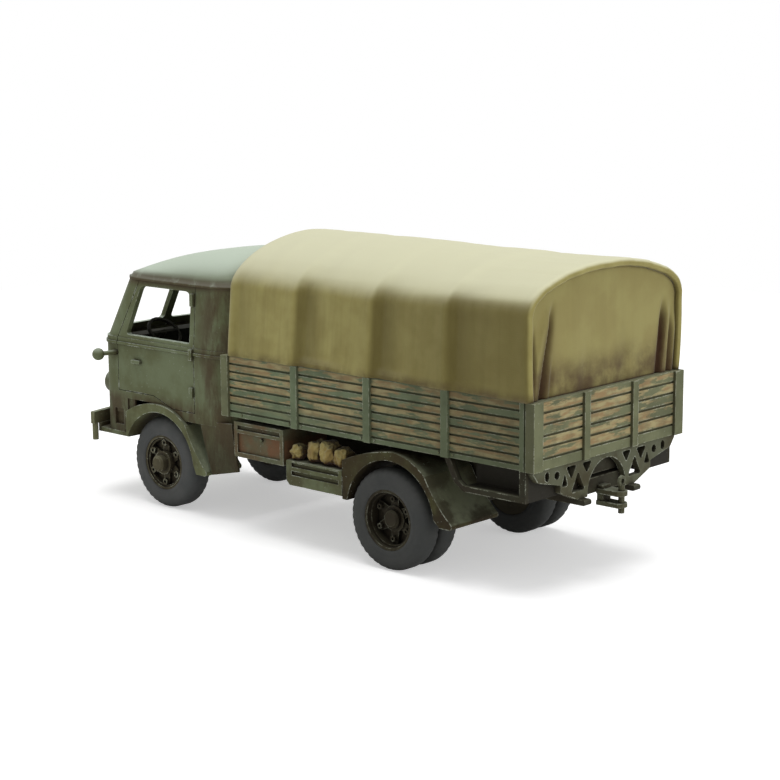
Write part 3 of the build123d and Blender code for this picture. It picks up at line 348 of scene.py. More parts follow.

# %% [markdown]
# The cab gets the most attention. Its green is fresher on the doors and turns to a rusty brown in
# the rear corners behind the doors and along the edge of the roof, where a painter stipples old
# rain marks. The roof is pale with a painted highlight from above, and the cab's lowest part turns
# near-black as painted shade. Bands of position say where, and noise that is stretched downwards
# breaks the rusty bands up.

# %% The cab's paint
cab_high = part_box("cab_back")[1]
gutter_z = cab_high[2]
cab_paint, cab_colour, cab_place = worn_paint(
    "cab_paint", (0.178, 0.208, 0.116), (0.134, 0.148, 0.074), (0.56, 0.64, 0.53), top_share=0.95,
    chip_share=1.0)
_, cab_along, cab_rise = axes(cab_place)
rain = cloud(stretched(cab_place, 0.30), 420, 5.0, 0.65)
behind_door = times(below(cab_rise, gutter_z - 0.5 * MM, gutter_z + 0.4 * MM),
                    above(cab_along, cab_high[1] - 10.5 * MM, cab_high[1] - 5 * MM))
at_gutter = times(above(cab_rise, gutter_z - 1.6 * MM, gutter_z + 0.1 * MM),
                  below(cab_rise, gutter_z + 0.7 * MM, gutter_z + 2.0 * MM))
at_foot = below(cab_rise, 18.2 * MM, 21.0 * MM)
rusty = times(arith("MAXIMUM", behind_door, at_foot), above(rain, 0.30, 0.62))
rusty = arith("MAXIMUM", rusty, times(at_gutter, above(rain, 0.12, 0.52)))
cab_colour = mix(times(rusty, 0.82), cab_colour, (0.072, 0.046, 0.024))
# Painted shade: below 19 mm the cab darkens to near-black towards its foot, without noise.
set_shader(mix(times(below(cab_rise, 10.5 * MM, 19.0 * MM), 0.62), cab_colour, (0.030, 0.024, 0.011)))
print("rusty brown behind the doors, at the foot and along the gutter, in mm at", in_mm(gutter_z))

# %% [markdown]
# A painter deepens the sides of the bed and of the canvas towards the tail, as if they lay in
# shade. Here too it is paint, mixed by where on the truck a point lies.

# %% Deeper towards the tail
fade_start, fade_end = 0.0, 48 * MM


def fading_back(colour, share, deep):
    """The colour, deepened towards the tail by a share, on faces that look sideways or forwards."""
    tree = colour.id_data
    along = axes(object_place(tree))[1]
    _, turned_back, turned_up = axes(facing(tree))
    beside = times(below(turned_back, 0.3, 0.8), below(turned_up, 0.35, 0.8))
    return mix(times(above(along, fade_start, fade_end), beside, share), colour, deep)


print("sides deepen along y, in mm", in_mm(fade_start, fade_end))

# %% [markdown]
# The bed's boards are painted one at a time: green all over, then broken strokes of tan and brown
# dragged along each board. A stroke is long and thin, so its noise is stretched along the board.
# The sides run along Y and the ends along X, so x + y runs along both. Towards the cab the lowest
# boards stay plain green.

# %% Board paint
bed_side_low, bed_side_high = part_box("bed_side_left")
tailboard_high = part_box("tailboard")[1]


def board_paint(name, foot_rail, count, base, face_x, face_y):
    """Camouflage strokes that follow the boards above a plain foot rail.

    The posts stand prouder than face_x and face_y, and stay free of strokes.
    """
    material, green, place = worn_paint(
        name, base, tuple(0.72 * v for v in base), (0.32, 0.33, 0.22), chip=(0.50, 0.51, 0.40),
        low_dust=0.0, top_share=0.5, chip_share=0.9, grime_and_shade_share=0.35, wash_and_shade_share=0.34)
    x, y, z = axes(place)
    foot_z = bed_side_low[2]
    first_joint = foot_z + foot_rail
    pitch = (bed_side_high[2] - first_joint) / count
    board = arith("DIVIDE", arith("SUBTRACT", z, first_joint), pitch)
    number = arith("FLOOR", board)
    within = arith("SUBTRACT", board, number)
    stroke_place = add_node(material.node_tree, "ShaderNodeCombineXYZ", {
        "X": times(arith("ADD", x, y), 135), "Y": times(number, 7.3), "Z": times(z, 640)}).outputs[0]
    strokes = above(cloud(stroke_place, 1.0, 5.0, 0.66), 0.42, 0.51)
    middle = times(above(within, 0.02, 0.24), below(within, 0.80, 1.0))
    above_rail = above(z, first_joint - 0.1 * MM, first_joint + 0.1 * MM)
    ragged_z = arith("SUBTRACT", z, times(cloud(place, 120), 3.6 * MM))
    plain = times(below(y, 4 * MM, 24 * MM), below(ragged_z, foot_z + 0.2 * MM, foot_z + 1.8 * MM))
    amount = times(strokes, middle, above_rail, arith("SUBTRACT", 1.0, times(plain, 0.85)))
    for depth, face in ((arith("ABSOLUTE", x), face_x), (y, face_y)):
        amount = times(amount, below(depth, face, face + 0.05 * MM))
    tan = mix(above(cloud(stroke_place, 2.3, 2.0), 0.36, 0.64), (0.42, 0.355, 0.180),
              (0.325, 0.218, 0.104))
    # Painted shade: in the recesses the strokes turn a dark brown.
    sky = open_sky(material.node_tree, 0.7 * MM, 6)
    tan = mix(above(sky, 0.20, 0.80), (0.075, 0.058, 0.028), tan)
    tan = mix(times(above(cloud(place, 330, 4.0), 0.46, 0.66), 0.45), tan, (0.150, 0.130, 0.070))
    # Painted shade deepens the sides towards the tail.
    set_shader(fading_back(mix(times(amount, 0.88), green, tan), 0.50, (0.040, 0.036, 0.018)))
    return material


side_boards = board_paint("side_boards", 0.95 * MM, 7, (0.180, 0.222, 0.128),
                          bed_side_high[0] - 0.43 * MM, tailboard_high[1])
end_boards = board_paint("end_boards", 1.7 * MM, 5, (0.170, 0.180, 0.098),
                         bed_side_high[0] - 2.0 * MM, tailboard_high[1] - 0.43 * MM)
bed_green, *_ = worn_paint(
    "bed_green", (0.120, 0.140, 0.080), (0.090, 0.095, 0.050), (0.30, 0.34, 0.26), low_dust=0.3)
print("boards in mm", in_mm(bed_side_low[2], bed_side_high[2]))

# %% [markdown]
# The toolbox doors carry a rust brown that fades into the green, as an airbrush leaves it. A slow
# noise mixes the two. The door is told from its frame by height and by how far out it stands.

# %% Rust brown panels
box_paint, box_green, box_place = worn_paint(
    "box_paint", (0.130, 0.145, 0.085), (0.13, 0.095, 0.050), (0.34, 0.38, 0.30),
    chip=(0.46, 0.48, 0.38), low_dust=0.4, grime_and_shade_share=0.7)
(_, _, door_foot), (door_out, _, door_top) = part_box("toolbox_left")
box_across, _, box_rise = axes(box_place)
on_door = times(above(box_rise, door_foot + 0.6 * MM, door_foot + 1.2 * MM),
                below(box_rise, door_top - 2.1 * MM, door_top - 1.6 * MM),
                below(arith("ABSOLUTE", box_across), door_out - 0.38 * MM, door_out - 0.30 * MM))
rust_share = times(on_door, above(cloud(box_place, 240, 4.0), 0.36, 0.60))
set_shader(mix(rust_share, box_green, (0.170, 0.090, 0.045)))
print("rust on the doors, in mm", in_mm(door_foot, door_top))

# %% [markdown]
# Tyre rubber on a painted model is a matt slate grey: a little lighter where dust catches the
# sidewall and, as a painted highlight, where it faces up, darker in the tread and by the rim, partly
# as painted shade, with a fine even grain. The rear tyres are darker too, as painted shade.

# %% Rubber
rubber, rubber_grey, _ = worn_paint(
    "rubber", (0.082, 0.086, 0.084), (0.100, 0.102, 0.098), (0.125, 0.128, 0.122),
    (0.012, 0.012, 0.011), (0.20, 0.20, 0.18), grime=(0.022, 0.022, 0.019), grime_and_shade_share=0.5,
    wash_and_shade_share=0.8, top_share=0.25, chip_share=0.35, low_dust=0.0, roughness=0.8, grain=0.03)
shade_at_rear(rubber_grey, 0.45, (0.022, 0.023, 0.020))
print("rubber:", rubber.name)

# %% [markdown]
# The long openings under the bed's tail are deep and unlit. Their frames are painted like the
# chassis, and whatever lies behind the frame's face gets a near-black brown as painted shade, by its
# distance from the truck's middle line.

# %% Deep openings
tail_paint, tail_green, tail_place = worn_paint(
    "tail_paint", (0.028, 0.028, 0.015), (0.020, 0.017, 0.009), (0.18, 0.19, 0.13),
    chip=(0.44, 0.46, 0.36), grime=(0.030, 0.021, 0.010), grime_and_shade_share=1.0)
box_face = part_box("rear_side_box_left")[1][0]
# Painted shade: near-black behind the frame's face.
shaded_behind_face = below(arith("ABSOLUTE", axes(tail_place)[0]), box_face - 1.1 * MM, box_face - 0.25 * MM)
set_shader(mix(times(shaded_behind_face, 0.95), tail_green, (0.018, 0.016, 0.011)))
print("openings darken behind x, in mm", in_mm(box_face))

# %% [markdown]
# Canvas is painted olive, much paler on top where the light falls, a painted highlight, with brown
# grime above the bed. The folds' shade is painted too: each point of a sheet carries an attribute,
# fold_shade, that says how deep in a fold it lies, and the paint mixes a dark olive brown by it as
# painted shade. The weave is finer than the brush marks at this scale, so both are only bump: two
# wave patterns crossed, and a stretched noise.

# %% Canvas
def cloth_paint(name, base, second, top, wash_and_shade, grime, grime_low, grime_high, fold, top_share=0.95,
                back_share=0.0, edge_chips=0.10, streak_share=0.18, soil_and_shade_share=0.35):
    """Painted cloth: a clouded base, a painted highlight on top, grime from below, painted shade in the
    folds and a woven bump.
    """
    material, colour, place = worn_paint(
        name, base, second, top, wash_and_shade, top, grime=wash_and_shade, grime_and_shade_share=soil_and_shade_share, low_dust=0.0,
        top_share=top_share, chip_share=edge_chips, wash_and_shade_share=0.75, roughness=0.86)
    tree = material.node_tree
    # Painted shade: the sides deepen towards the tail.
    if back_share:
        colour = fading_back(colour, back_share, fold)
    # Painted shade: the folds take the dark fold colour by the fold_shade attribute.
    depth = add_node(tree, "ShaderNodeAttribute", attribute_name="fold_shade").outputs["Fac"]
    broken = scaled(cloud(stretched(place, 0.25), 520, 4.0), 0.6, 0.70)
    colour = mix(times(depth, broken, clamp=True), colour, fold)
    near_bed = below(axes(place)[2], grime_low, grime_high)
    soiled = above(cloud(place, 210, 5.0, 0.6), 0.26, 0.70)
    colour = mix(times(near_bed, soiled, 0.85), colour, grime)
    streaks = above(cloud(stretched(place, 0.07), 620, 4.0), 0.42, 0.70)
    beside = below(axes(facing(tree))[2], 0.25, 0.70)
    colour = mix(times(streaks, beside, streak_share), colour, fold)
    weave = [add_node(tree, "ShaderNodeTexWave", {"Vector": place, "Scale": 900.0, "Distortion": 0.4},
                      bands_direction=direction).outputs["Fac"] for direction in ("Z", "Y")]
    brushed = cloud(stretched(place, 0.22), 700, 5.0, 0.7)
    relief = arith("ADD", times(arith("MAXIMUM", *weave), 0.35), times(brushed, beside))
    bump = add_node(tree, "ShaderNodeBump", {"Height": relief, "Distance": 0.04 * MM, "Strength": 0.5})
    set_shader(colour, {"Normal": bump.outputs[0], "Sheen Weight": 0.15, "Sheen Roughness": 0.5})
    return material


tilt_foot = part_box("tilt")[0][2]
tilt_canvas = cloth_paint(
    "tilt_canvas", (0.395, 0.350, 0.126), (0.330, 0.285, 0.096), (0.70, 0.69, 0.48),
    (0.060, 0.036, 0.016), (0.100, 0.070, 0.030), tilt_foot + 0.2 * MM, tilt_foot + 1.8 * MM,
    (0.130, 0.104, 0.028), back_share=0.70)
curtain_canvas = cloth_paint(
    "curtain_canvas", (0.335, 0.295, 0.108), (0.302, 0.258, 0.092), (0.50, 0.47, 0.27),
    (0.050, 0.026, 0.012), (0.066, 0.034, 0.016), tilt_foot + 1.7 * MM, tilt_foot + 7.2 * MM,
    (0.048, 0.022, 0.008), streak_share=0.05, soil_and_shade_share=0.22)
bundle_cloth = cloth_paint(
    "bundle_cloth", (0.430, 0.350, 0.125), (0.215, 0.135, 0.038), (0.66, 0.60, 0.30),
    (0.036, 0.015, 0.005), (0.110, 0.050, 0.016), 14.3 * MM, 15.6 * MM, (0.080, 0.036, 0.012),
    top_share=0.5, edge_chips=0.3, soil_and_shade_share=1.0)
print("cloth:", tilt_canvas.name, curtain_canvas.name, bundle_cloth.name)

# %% [markdown]
# A headlamp has a pale glass face inside a painted ring. The CAD's lamp is one piece, so its paint
# tells the two apart by distance from the lamp's centre line. A thin clear coat that is the same
# all over the lamp gives the glass its shine.

# %% Headlamps
lamp_low, lamp_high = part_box("headlamps")
lamp_radius = (lamp_high[2] - lamp_low[2]) / 2
lamp_x = lamp_high[0] - lamp_radius
lamp_z = (lamp_high[2] + lamp_low[2]) / 2
glass_rim = 0.76 * lamp_radius
lamp_paint, lamp_green, lamp_place = worn_paint("lamp_paint", *field_coats, roughness=0.55)
lamp_across, _, lamp_rise = axes(lamp_place)
off_x = arith("SUBTRACT", arith("ABSOLUTE", lamp_across), lamp_x)
off_z = arith("SUBTRACT", lamp_rise, lamp_z)
from_lamp = arith("SQRT", arith("ADD", arith("POWER", off_x, 2.0), arith("POWER", off_z, 2.0)))
ribs = add_node(lamp_paint.node_tree, "ShaderNodeTexWave", {"Vector": lamp_place, "Scale": 420.0},
                bands_direction="X").outputs["Fac"]
lens = mix(ribs, (0.300, 0.310, 0.270), (0.420, 0.430, 0.390))
lens = mix(above(from_lamp, 0.35 * lamp_radius, 0.72 * lamp_radius), lens, (0.140, 0.142, 0.115))
glass = below(from_lamp, 0.70 * lamp_radius, glass_rim)
set_shader(mix(glass, lamp_green, lens), {"Coat Weight": 0.25})
print("radius of each lamp's glass, in mm", in_mm(glass_rim))

# %% [markdown]
# The CAD's nodes keep their meshes, and only take a paint. A table of paints by node says which.

# %% Paint on the CAD nodes
paint_rows = [
    # paint, the words that start or end a node's name
    (cab_paint, ("cab_back", "cab_nose", "cab_roof", "cab_floor", "door", "windscreen")),
    (field_green, ("nose_apron", "corner", "grille", "step_locker")),
    (fender_green, ("front_fender",)),
    (bumper_paint, ("front_bumper",)),
    (lamp_paint, ("headlamps",)),
    (truss_paint, ("rear_truss", "tow_hitch")),
    (shaded_fender, ("rear_fender",)),
    (tail_paint, ("rear_side_box",)),
    (side_boards, ("bed_side",)),
    (end_boards, ("headboard", "tailboard")),
    (bed_green, ("bed_floor",)),
    (box_paint, ("toolbox",)),
    (frame_dark, ("chassis", "bed_bearers", "_axle", "_springs")),
    (trim_paint, ("bench_seat", "dashboard", "steering_wheel")),
    (wheel_paint, ("_rim",)),
    (rubber, ("_tyre",)),
    (tilt_canvas, ("tilt",)),
    (bundle_cloth, ("stowage_rolls",)),
]
painted = set()
for paint, words in paint_rows:
    for name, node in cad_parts.items():
        if name.startswith(words) or name.endswith(words):
            for slot in node.material_slots:
                slot.material = paint
            painted.add(name)
print(len(painted), "of", len(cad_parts), "nodes painted")

# %% [markdown]
# New pieces start as a bmesh, and each ends the same way: normals outward, a mesh at the origin,
# a paint, and a body to ride on. One function keeps those steps together.

# %% Finishing a piece
def finish_piece(name, shape, paint, body="truck", smooth=True, recalc=True):
    """An object from a bmesh, painted, smooth and riding on a body."""
    if recalc:
        bmesh.ops.recalc_face_normals(shape, faces=shape.faces)
    for face in shape.faces:
        face.smooth = smooth
    mesh = bpy.data.meshes.new(name)
    shape.to_mesh(mesh)
    shape.free()
    mesh.materials.append(paint)
    piece = bpy.data.objects.new(name, mesh)
    scene.collection.objects.link(piece)
    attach(piece, body)
    print(name, len(mesh.vertices), "points", len(mesh.polygons), "faces")
    return piece


# %% [markdown]
# The canvas tilt is one sheet over hoops that stand on the bed's posts. Its section is a nearly
# straight side, a round shoulder and a flat crown, so half of it is a line and one Bezier curve.

# %% Tilt section
tilt_low, tilt_high = node_box("tilt")
bed_half = tilt_high.x
shoulder = Vector((bed_half - 0.95 * MM, 0, tilt_low.z + 11.2 * MM))
crown_z = tilt_high.z
half_section = [Vector((bed_half, 0, tilt_low.z))]
half_section += geometry.interpolate_bezier(
    shoulder, shoulder + Vector((-0.3, 0, 3.7)) * MM, Vector((9.4 * MM, 0, crown_z)),
    Vector((0, 0, crown_z)), 33)
side_lengths = [(b - a).length for a, b in zip(half_section, half_section[1:])]
half_girth = sum(side_lengths)


def section_at(share):
    """The point and the outward direction at a share of the girth, from -1 (left foot) to 1."""
    left_over = (1 - abs(share)) * half_girth
    sign = 1 if share < 0 else -1
    for a, b, length in zip(half_section, half_section[1:], side_lengths):
        if left_over <= length or b is half_section[-1]:
            point = a.lerp(b, min(1, left_over / length))
            run = (b - a).normalized()
            break
        left_over -= length
    outward = Vector((run.z, 0, -run.x))
    return Vector((sign * point.x, 0, point.z)), Vector((sign * outward.x, 0, outward.z))


print("half the girth of the tilt, in mm", in_mm(half_girth))

# %% [markdown]
# Painting folds alone would look flat from behind, so the sheet's points are moved. Behind each
# hoop the cloth drops in quickly and comes back slowly until the next one, as wind-drawn canvas
# does. A grid gives the sheet, and every point is placed by how far across and along it lies.

# %% The tilt's sheet
hoop_ys = [tilt_low.y + 0.8 * MM, 1.9 * MM, 18.6 * MM, 34.5 * MM, tilt_high.y - 1.2 * MM]
fold_depths = [0.45 * MM, 1.15 * MM, 1.25 * MM, 1.05 * MM]
rim_round = 0.5 * MM
tuck = 0.7 * MM
rear_belly = 1.35 * MM
rear_corner = 0.95 * MM
front_lift = 0.75 * MM


def smooth(value, low, high):
    """0 below low, 1 above high, and a soft step between."""
    t = min(1, max(0, (value - low) / (high - low)))
    return t * t * (3 - 2 * t)


def hoop_drop(y, side_share):
    """How far the cloth falls in at y, and how dark its painted fold is, for a share of side wall."""
    for start, end, depth in zip(hoop_ys, hoop_ys[1:], fold_depths):
        if start <= y <= end:
            t = (y - start) / (end - start)
            drop = depth * smooth(t, 0, 0.16) * (1 - t) ** 0.9 * (0.07 + 0.93 * side_share ** 2)
            behind = smooth(y - start, 0.1 * MM, 1.1 * MM) * (1 - smooth(y - start, 1.6 * MM, 8.5 * MM))
            return drop, behind * smooth(side_share, 0.50, 0.97) * depth / (1.5 * MM)
    return 0.0, 0.0


def rear_swell(y, point, outward):
    """The cloth bellies out beside the rear hoop, which is wider and squarer than the others."""
    rise = min(1, max(0, (point.z - tilt_low.z) / (shoulder.z + 2 * MM - tilt_low.z)))
    belly = rear_belly * abs(outward.x) * sin(pi / 2 * rise) ** 0.8
    corner = rear_corner * (2 * abs(outward.x) * outward.z) ** 2
    return (belly + corner) * smooth(y, 16 * MM, 50 * MM)


def tilt_place(share, run):
    """A point of the tilt at a share of its girth and a run along it, and its fold shade."""
    body_end = tilt_high.y - rim_round
    straight = body_end - tilt_low.y
    if run <= straight:
        y, inward = tilt_low.y + run, 0.0
    else:
        bend = min(1, (run - straight) / (rim_round * pi / 2))
        y = body_end + rim_round * sin(bend * pi / 2)
        inward = rim_round * (1 - cos(bend * pi / 2))
        past = run - straight - rim_round * pi / 2
        if past > 0:
            y -= past
            inward += 0.10 * past
    point, outward = section_at(share)
    side_share = abs(outward.x)
    inward += 0.75 * MM * max(0, 1 - (y - tilt_low.y) / (1.4 * MM)) ** 2
    crown_lift = front_lift * (1 - side_share) * (1 - smooth(y, 8 * MM, 44 * MM))
    crown_lift -= 0.10 * MM * (1 - side_share)
    drop, shade = hoop_drop(y, side_share)
    ripple = noise.noise(Vector((point.x * 90, y * 300, point.z * 70))) * 0.12 * MM
    ripple += noise.noise(Vector((point.x * 260, y * 700, point.z * 130 + 7))) * 0.03 * MM
    rise = min(1, max(0, (point.z - tilt_low.z) / (2 * MM)))
    inset = 0.10 * MM + inward + drop * (0.35 + 0.65 * rise) - min(0.08 * MM, ripple)
    inset -= rear_swell(y, point, outward) + crown_lift
    place = point - outward * inset
    return Vector((place.x, y, max(place.z, tilt_low.z))), shade


sheet_length = (tilt_high.y - rim_round - tilt_low.y) + rim_round * pi / 2 + tuck
tilt_mesh = bmesh.new()
bmesh.ops.create_grid(tilt_mesh, x_segments=96, y_segments=230, size=1)
tilt_shade = tilt_mesh.verts.layers.float.new("fold_shade")
for vert in tilt_mesh.verts:
    vert.co, vert[tilt_shade] = tilt_place(vert.co.x, (vert.co.y + 1) / 2 * sheet_length)
tilt_sheet = finish_piece("tilt_sheet", tilt_mesh, tilt_canvas)
print("the sheet's flat size, in mm", in_mm(2 * half_girth, sheet_length))

# %% [markdown]
# The cloth's edge shows at the hems. The Solidify modifier gives it a thickness, and all of it goes
# inwards, so that the outside stays where it was placed.

# %% Thickness of the cloth
cloth_thickness = 0.35 * MM


def thicken(piece, thickness):
    """Thickness inwards from the sheet that the eye sees."""
    wall = piece.modifiers.new("thickness", "SOLIDIFY")
    wall.thickness = thickness
    wall.offset = -1


thicken(tilt_sheet, cloth_thickness)
print("cloth thickness in mm", in_mm(cloth_thickness))

# %% [markdown]
# Two sheets close the tilt's ends. Their rows run from the foot to the arch, so each follows the
# tilt's outline. Two helpers give that outline's height, and how far the cloth stands off it.

# %% The arch
panel_lift = 0.40 * MM


def arch_height(x):
    """The height of the tilt's section over x."""
    for a, b in zip(half_section[1:], half_section[2:]):
        if abs(x) <= a.x and (abs(x) >= b.x or b is half_section[-1]):
            return a.z + (b.z - a.z) * (a.x - abs(x)) / (a.x - b.x)
    return half_section[1].z


def arch_swell(x, at_rear):
    """How far an end of the tilt stands off its section over x, across and up."""
    step = 0.05 * MM
    slope = (arch_height(max(0, abs(x) - step)) - arch_height(abs(x))) / step
    outward_x, outward_z = slope / (1 + slope ** 2) ** 0.5, 1 / (1 + slope ** 2) ** 0.5
    if not at_rear:
        return 0.0, panel_lift * (1 - outward_x)
    push = rear_belly * outward_x + rear_corner * (2 * outward_x * outward_z) ** 2
    return push * outward_x * (1 if x > 0 else -1), push * outward_z


print("the arch's height in mm", in_mm(arch_height(0) - tilt_low.z))

# %% [markdown]
# The rear curtain hangs inside the rim. At its sides spare cloth is tucked into deep upright folds,
# which lean in as they rise. A fold is a ridge with a sharp valley beside it, so each is given by
# where it starts at the foot and ends at the head, and how deep it is.

# %% The curtain's folds
fold_rows = [
    # across at the foot, across at the head, width, depth, top of the fold as a share of the height
    (0.895, 0.69, 0.062, 1.20, 0.88),
    (0.970, 0.91, 0.024, 0.60, 0.80),
    (0.76, 0.64, 0.035, 0.25, 0.45),
    (-0.77, -0.87, 0.042, 1.00, 0.80),
    (-0.90, -0.95, 0.030, 0.65, 0.72),
    (0.35, 0.20, 0.080, 0.10, 0.50),
    (-0.30, -0.36, 0.090, 0.10, 0.55),
]


def fold_relief(across, up):
    """How far the curtain stands out at a place, and how deep in a fold's valley that place is."""
    relief = shade = 0.0
    for foot, head, width, depth, top in fold_rows:
        centre = foot + (head - foot) * up
        fade = smooth(top - up, 0, 0.30)
        spread = width * (1.15 - 0.45 * up)
        side = 1 if foot > 0 else -1
        off = (across - centre) / spread * side
        valley = exp(-((off + 0.45) * 1.6) ** 2)
        relief += depth * fade * (0.60 * exp(-(off - 0.7) ** 2) - 0.75 * valley)
        narrow = 0.70 + 0.45 * up
        shade = max(shade, min(1.0, 1.25 * depth) * fade * exp(-((off + 0.40) * narrow) ** 2))
    return relief * MM, shade


print(len(fold_rows), "folds")

# %% [markdown]
# The front panel is the same sheet as the curtain, with no folds. The flat size of each is the run
# of its foot and the height of the arch, with a little more for the hem.

# %% End sheets
panel_thickness = 0.3 * MM


def end_sheet(name, y, outward, folds, inset, paint):
    """A panel that closes the tilt at y, under the arch, with or without folds."""
    foot_half = bed_half - inset
    head_half = shoulder.x - inset
    panel = bmesh.new()
    bmesh.ops.create_grid(panel, x_segments=190 if folds else 60, y_segments=64, size=1)
    shade_layer = panel.verts.layers.float.new("fold_shade")
    for vert in panel.verts:
        across, up_share = vert.co.x, (vert.co.y + 1) / 2
        head_x = across * head_half * 0.995
        z = tilt_low.z + up_share * (arch_height(head_x) - inset - tilt_low.z)
        x = across * (foot_half + (head_half - foot_half) * up_share)
        swell_x, swell_z = arch_swell(head_x, folds)
        x += swell_x * sin(pi / 2 * up_share)
        z += swell_z * up_share ** 2
        stand = 0.0
        if folds:
            stand, vert[shade_layer] = fold_relief(across, up_share)
            stand += 0.12 * MM * noise.noise(Vector((x * 200, z * 80, 3)))
            stand -= 0.20 * MM * up_share
            stand = min(stand, 0.30 * MM)
        vert.co = Vector((x, y + outward * stand, z))
    sheet = finish_piece(name, panel, paint, recalc=False)
    mesh = sheet.data
    if (mesh.polygons[0].normal.y > 0) != (outward > 0):
        mesh.flip_normals()
    thicken(sheet, panel_thickness)


end_sheet("rear_curtain", tilt_high.y - 0.50 * MM, 1, True, 0.45 * MM, curtain_canvas)
end_sheet("front_panel", tilt_low.y + 0.35 * MM, -1, False, 0.55 * MM, tilt_canvas)
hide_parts("tilt")

# %% [markdown]
# The cab's roof is a low dome whose front falls in one soft sweep to the windscreen, and whose
# corners are round in every direction. The CAD's roof is cut from an arch, so its corners are
# crisper. A square grid becomes the dome: each of its square rings is drawn as a rounded
# rectangle in plan, and its height is the product of three falling curves: one towards the front,
# one across and one at the rear. The outermost ring is the rain gutter, so its border is extruded
# down to the cab wall.

# %% Domed roof
roof_low, roof_high = node_box("cab_roof")
roof_half = roof_high.x
roof_front, roof_back = roof_low.y, roof_high.y
gutter_top = gutter_z + 0.42 * MM
dome_rise = roof_high.z - gutter_top
roof_bow = 1.1 * MM
gutter_ring = 0.965
roof_thickness = 0.5 * MM


def roof_place(across, along):
    """A point of the roof for a place in a square from -1 to 1, where along 1 is the rear."""
    ring = max(abs(across), abs(along))
    plan = (abs(across) ** 6 + abs(along) ** 6) ** (1 / 6)
    draw = ring / plan if plan else 1.0
    x = across * draw * roof_half
    middle = (roof_front + roof_bow + roof_back) / 2
    y = middle + along * draw * (roof_back - roof_front - roof_bow) / 2
    if along < 0:
        y -= roof_bow * (1 - (x / roof_half) ** 2) * -along
    if ring > gutter_ring:
        return Vector((x, y, gutter_top))
    u = min(0.9999, abs(across * draw) / gutter_ring)
    s = min(1, max(0, (along * draw / gutter_ring + 1) / 2))
    falling_front = (1 - (1 - s) ** 2.3) ** 0.72
    arch = (1 - u ** 3.0) ** 0.55
    near_rim = (u ** 6 + max(0, 2 * s - 1) ** 6) ** 1.5
    rear_wall = max(0, (1 - near_rim) / (1 - u ** 9)) ** 0.5
    return Vector((x, y, gutter_top + dome_rise * falling_front * arch * rear_wall))


roof_mesh = bmesh.new()
bmesh.ops.create_grid(roof_mesh, x_segments=96, y_segments=96, size=1)
for vert in roof_mesh.verts:
    vert.co = roof_place(vert.co.x, vert.co.y)
border = [edge for edge in roof_mesh.edges if len(edge.link_faces) == 1]
for part in bmesh.ops.extrude_edge_only(roof_mesh, edges=border)["geom"]:
    if isinstance(part, bmesh.types.BMVert):
        part.co.z = gutter_z
domed_roof = finish_piece("domed_roof", roof_mesh, cab_paint)
thicken(domed_roof, roof_thickness)
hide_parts("cab_roof")

# %% [markdown]
# Behind each front wheel the cab's side runs on down to the fender's foot, curving inwards a
# little, and in front of the wheel a small plate closes the corner under the door. Both are sheet
# pieces too thin for the CAD. Each starts as four corners, is subdivided, bent and thickened.

# %% Cab side plates
plate_thickness = 0.45 * MM


def side_plate(name, corners, bend):
    """A thin plate from four corners in mm on the left side, bent inwards, and its mirror."""
    plate = bmesh.new()
    plate.faces.new([plate.verts.new(Vector(corner) * MM) for corner in corners])
    bmesh.ops.subdivide_edges(plate, edges=plate.edges[:], cuts=9, use_grid_fill=True)
    _, ys, zs = zip(*corners)
    low_z, high_z = min(zs) * MM, max(zs) * MM
    front_y, back_y = min(ys) * MM, max(ys) * MM
    for vert in plate.verts:
        down = (high_z - vert.co.z) / (high_z - low_z)
        rear = (vert.co.y - front_y) / (back_y - front_y)
        vert.co.x -= bend * MM * (0.5 * down ** 2 + 0.5 * rear ** 3)
    bmesh.ops.recalc_face_normals(plate, faces=plate.faces)
    bmesh.ops.solidify(plate, geom=plate.faces[:], thickness=plate_thickness)
    copy = bmesh.ops.duplicate(plate, geom=plate.verts[:] + plate.edges[:] + plate.faces[:])["geom"]
    for part in copy:
        if isinstance(part, bmesh.types.BMVert):
            part.co.x = -part.co.x
    # A mirrored plate is inside out until its faces are reversed.
    bmesh.ops.reverse_faces(plate, faces=[f for f in copy if isinstance(f, bmesh.types.BMFace)])
    finish_piece(name, plate, cab_paint, smooth=False)


side_plate("skirt_plates", [(15.5, -21.6, 7.9), (15.4, -15.2, 9.3), (15.5, -16.35, 17.6),
                            (15.5, -24.2, 17.2)], 0.5)
side_plate("corner_plates", [(15.35, -46.6, 16.0), (15.35, -41.6, 16.0), (15.35, -41.6, 20.4),
                             (15.35, -46.6, 20.4)], 0.0)

# %% [markdown]
# Stowage on the left step: one rolled sack seen end-on, and a bundle of three sacks tied upright.
# Each starts as balls or a barrel in its CAD solid's place, is merged by a voxel remesh, and gets
# its creases from layered noise, as a sculptor drags a tool over putty.

# %% Crumpled cloth
roll_low, roll_high = node_box("stowage_rolls")
locker_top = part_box("step_locker_left")[1][2]


def creased(piece, seed, amount, fineness):
    """Folds of crumpled cloth: every point moves along its normal by layered noise."""
    mesh = piece.data
    moves = []
    for vert in mesh.vertices:
        spot = vert.co * fineness + Vector((seed, 0, 0))
        ridge = abs(noise.noise(spot)) + 0.5 * abs(noise.noise(spot * 2.3))
        moves.append(vert.normal * amount * (0.75 - 2.2 * ridge))
    for vert, move in zip(mesh.vertices, moves):
        vert.co += move


def merged(piece, voxel):
    """The piece with its overlapping balls fused into one skin."""
    remesh = piece.modifiers.new("fuse", "REMESH")
    remesh.mode = "VOXEL"
    remesh.voxel_size = voxel
    remesh.use_smooth_shade = True
    fused = bpy.data.meshes.new_from_object(piece.evaluated_get(bpy.context.evaluated_depsgraph_get()))
    piece.modifiers.remove(remesh)
    paint = piece.data.materials[0]
    piece.data = fused
    if not fused.materials:
        fused.materials.append(paint)


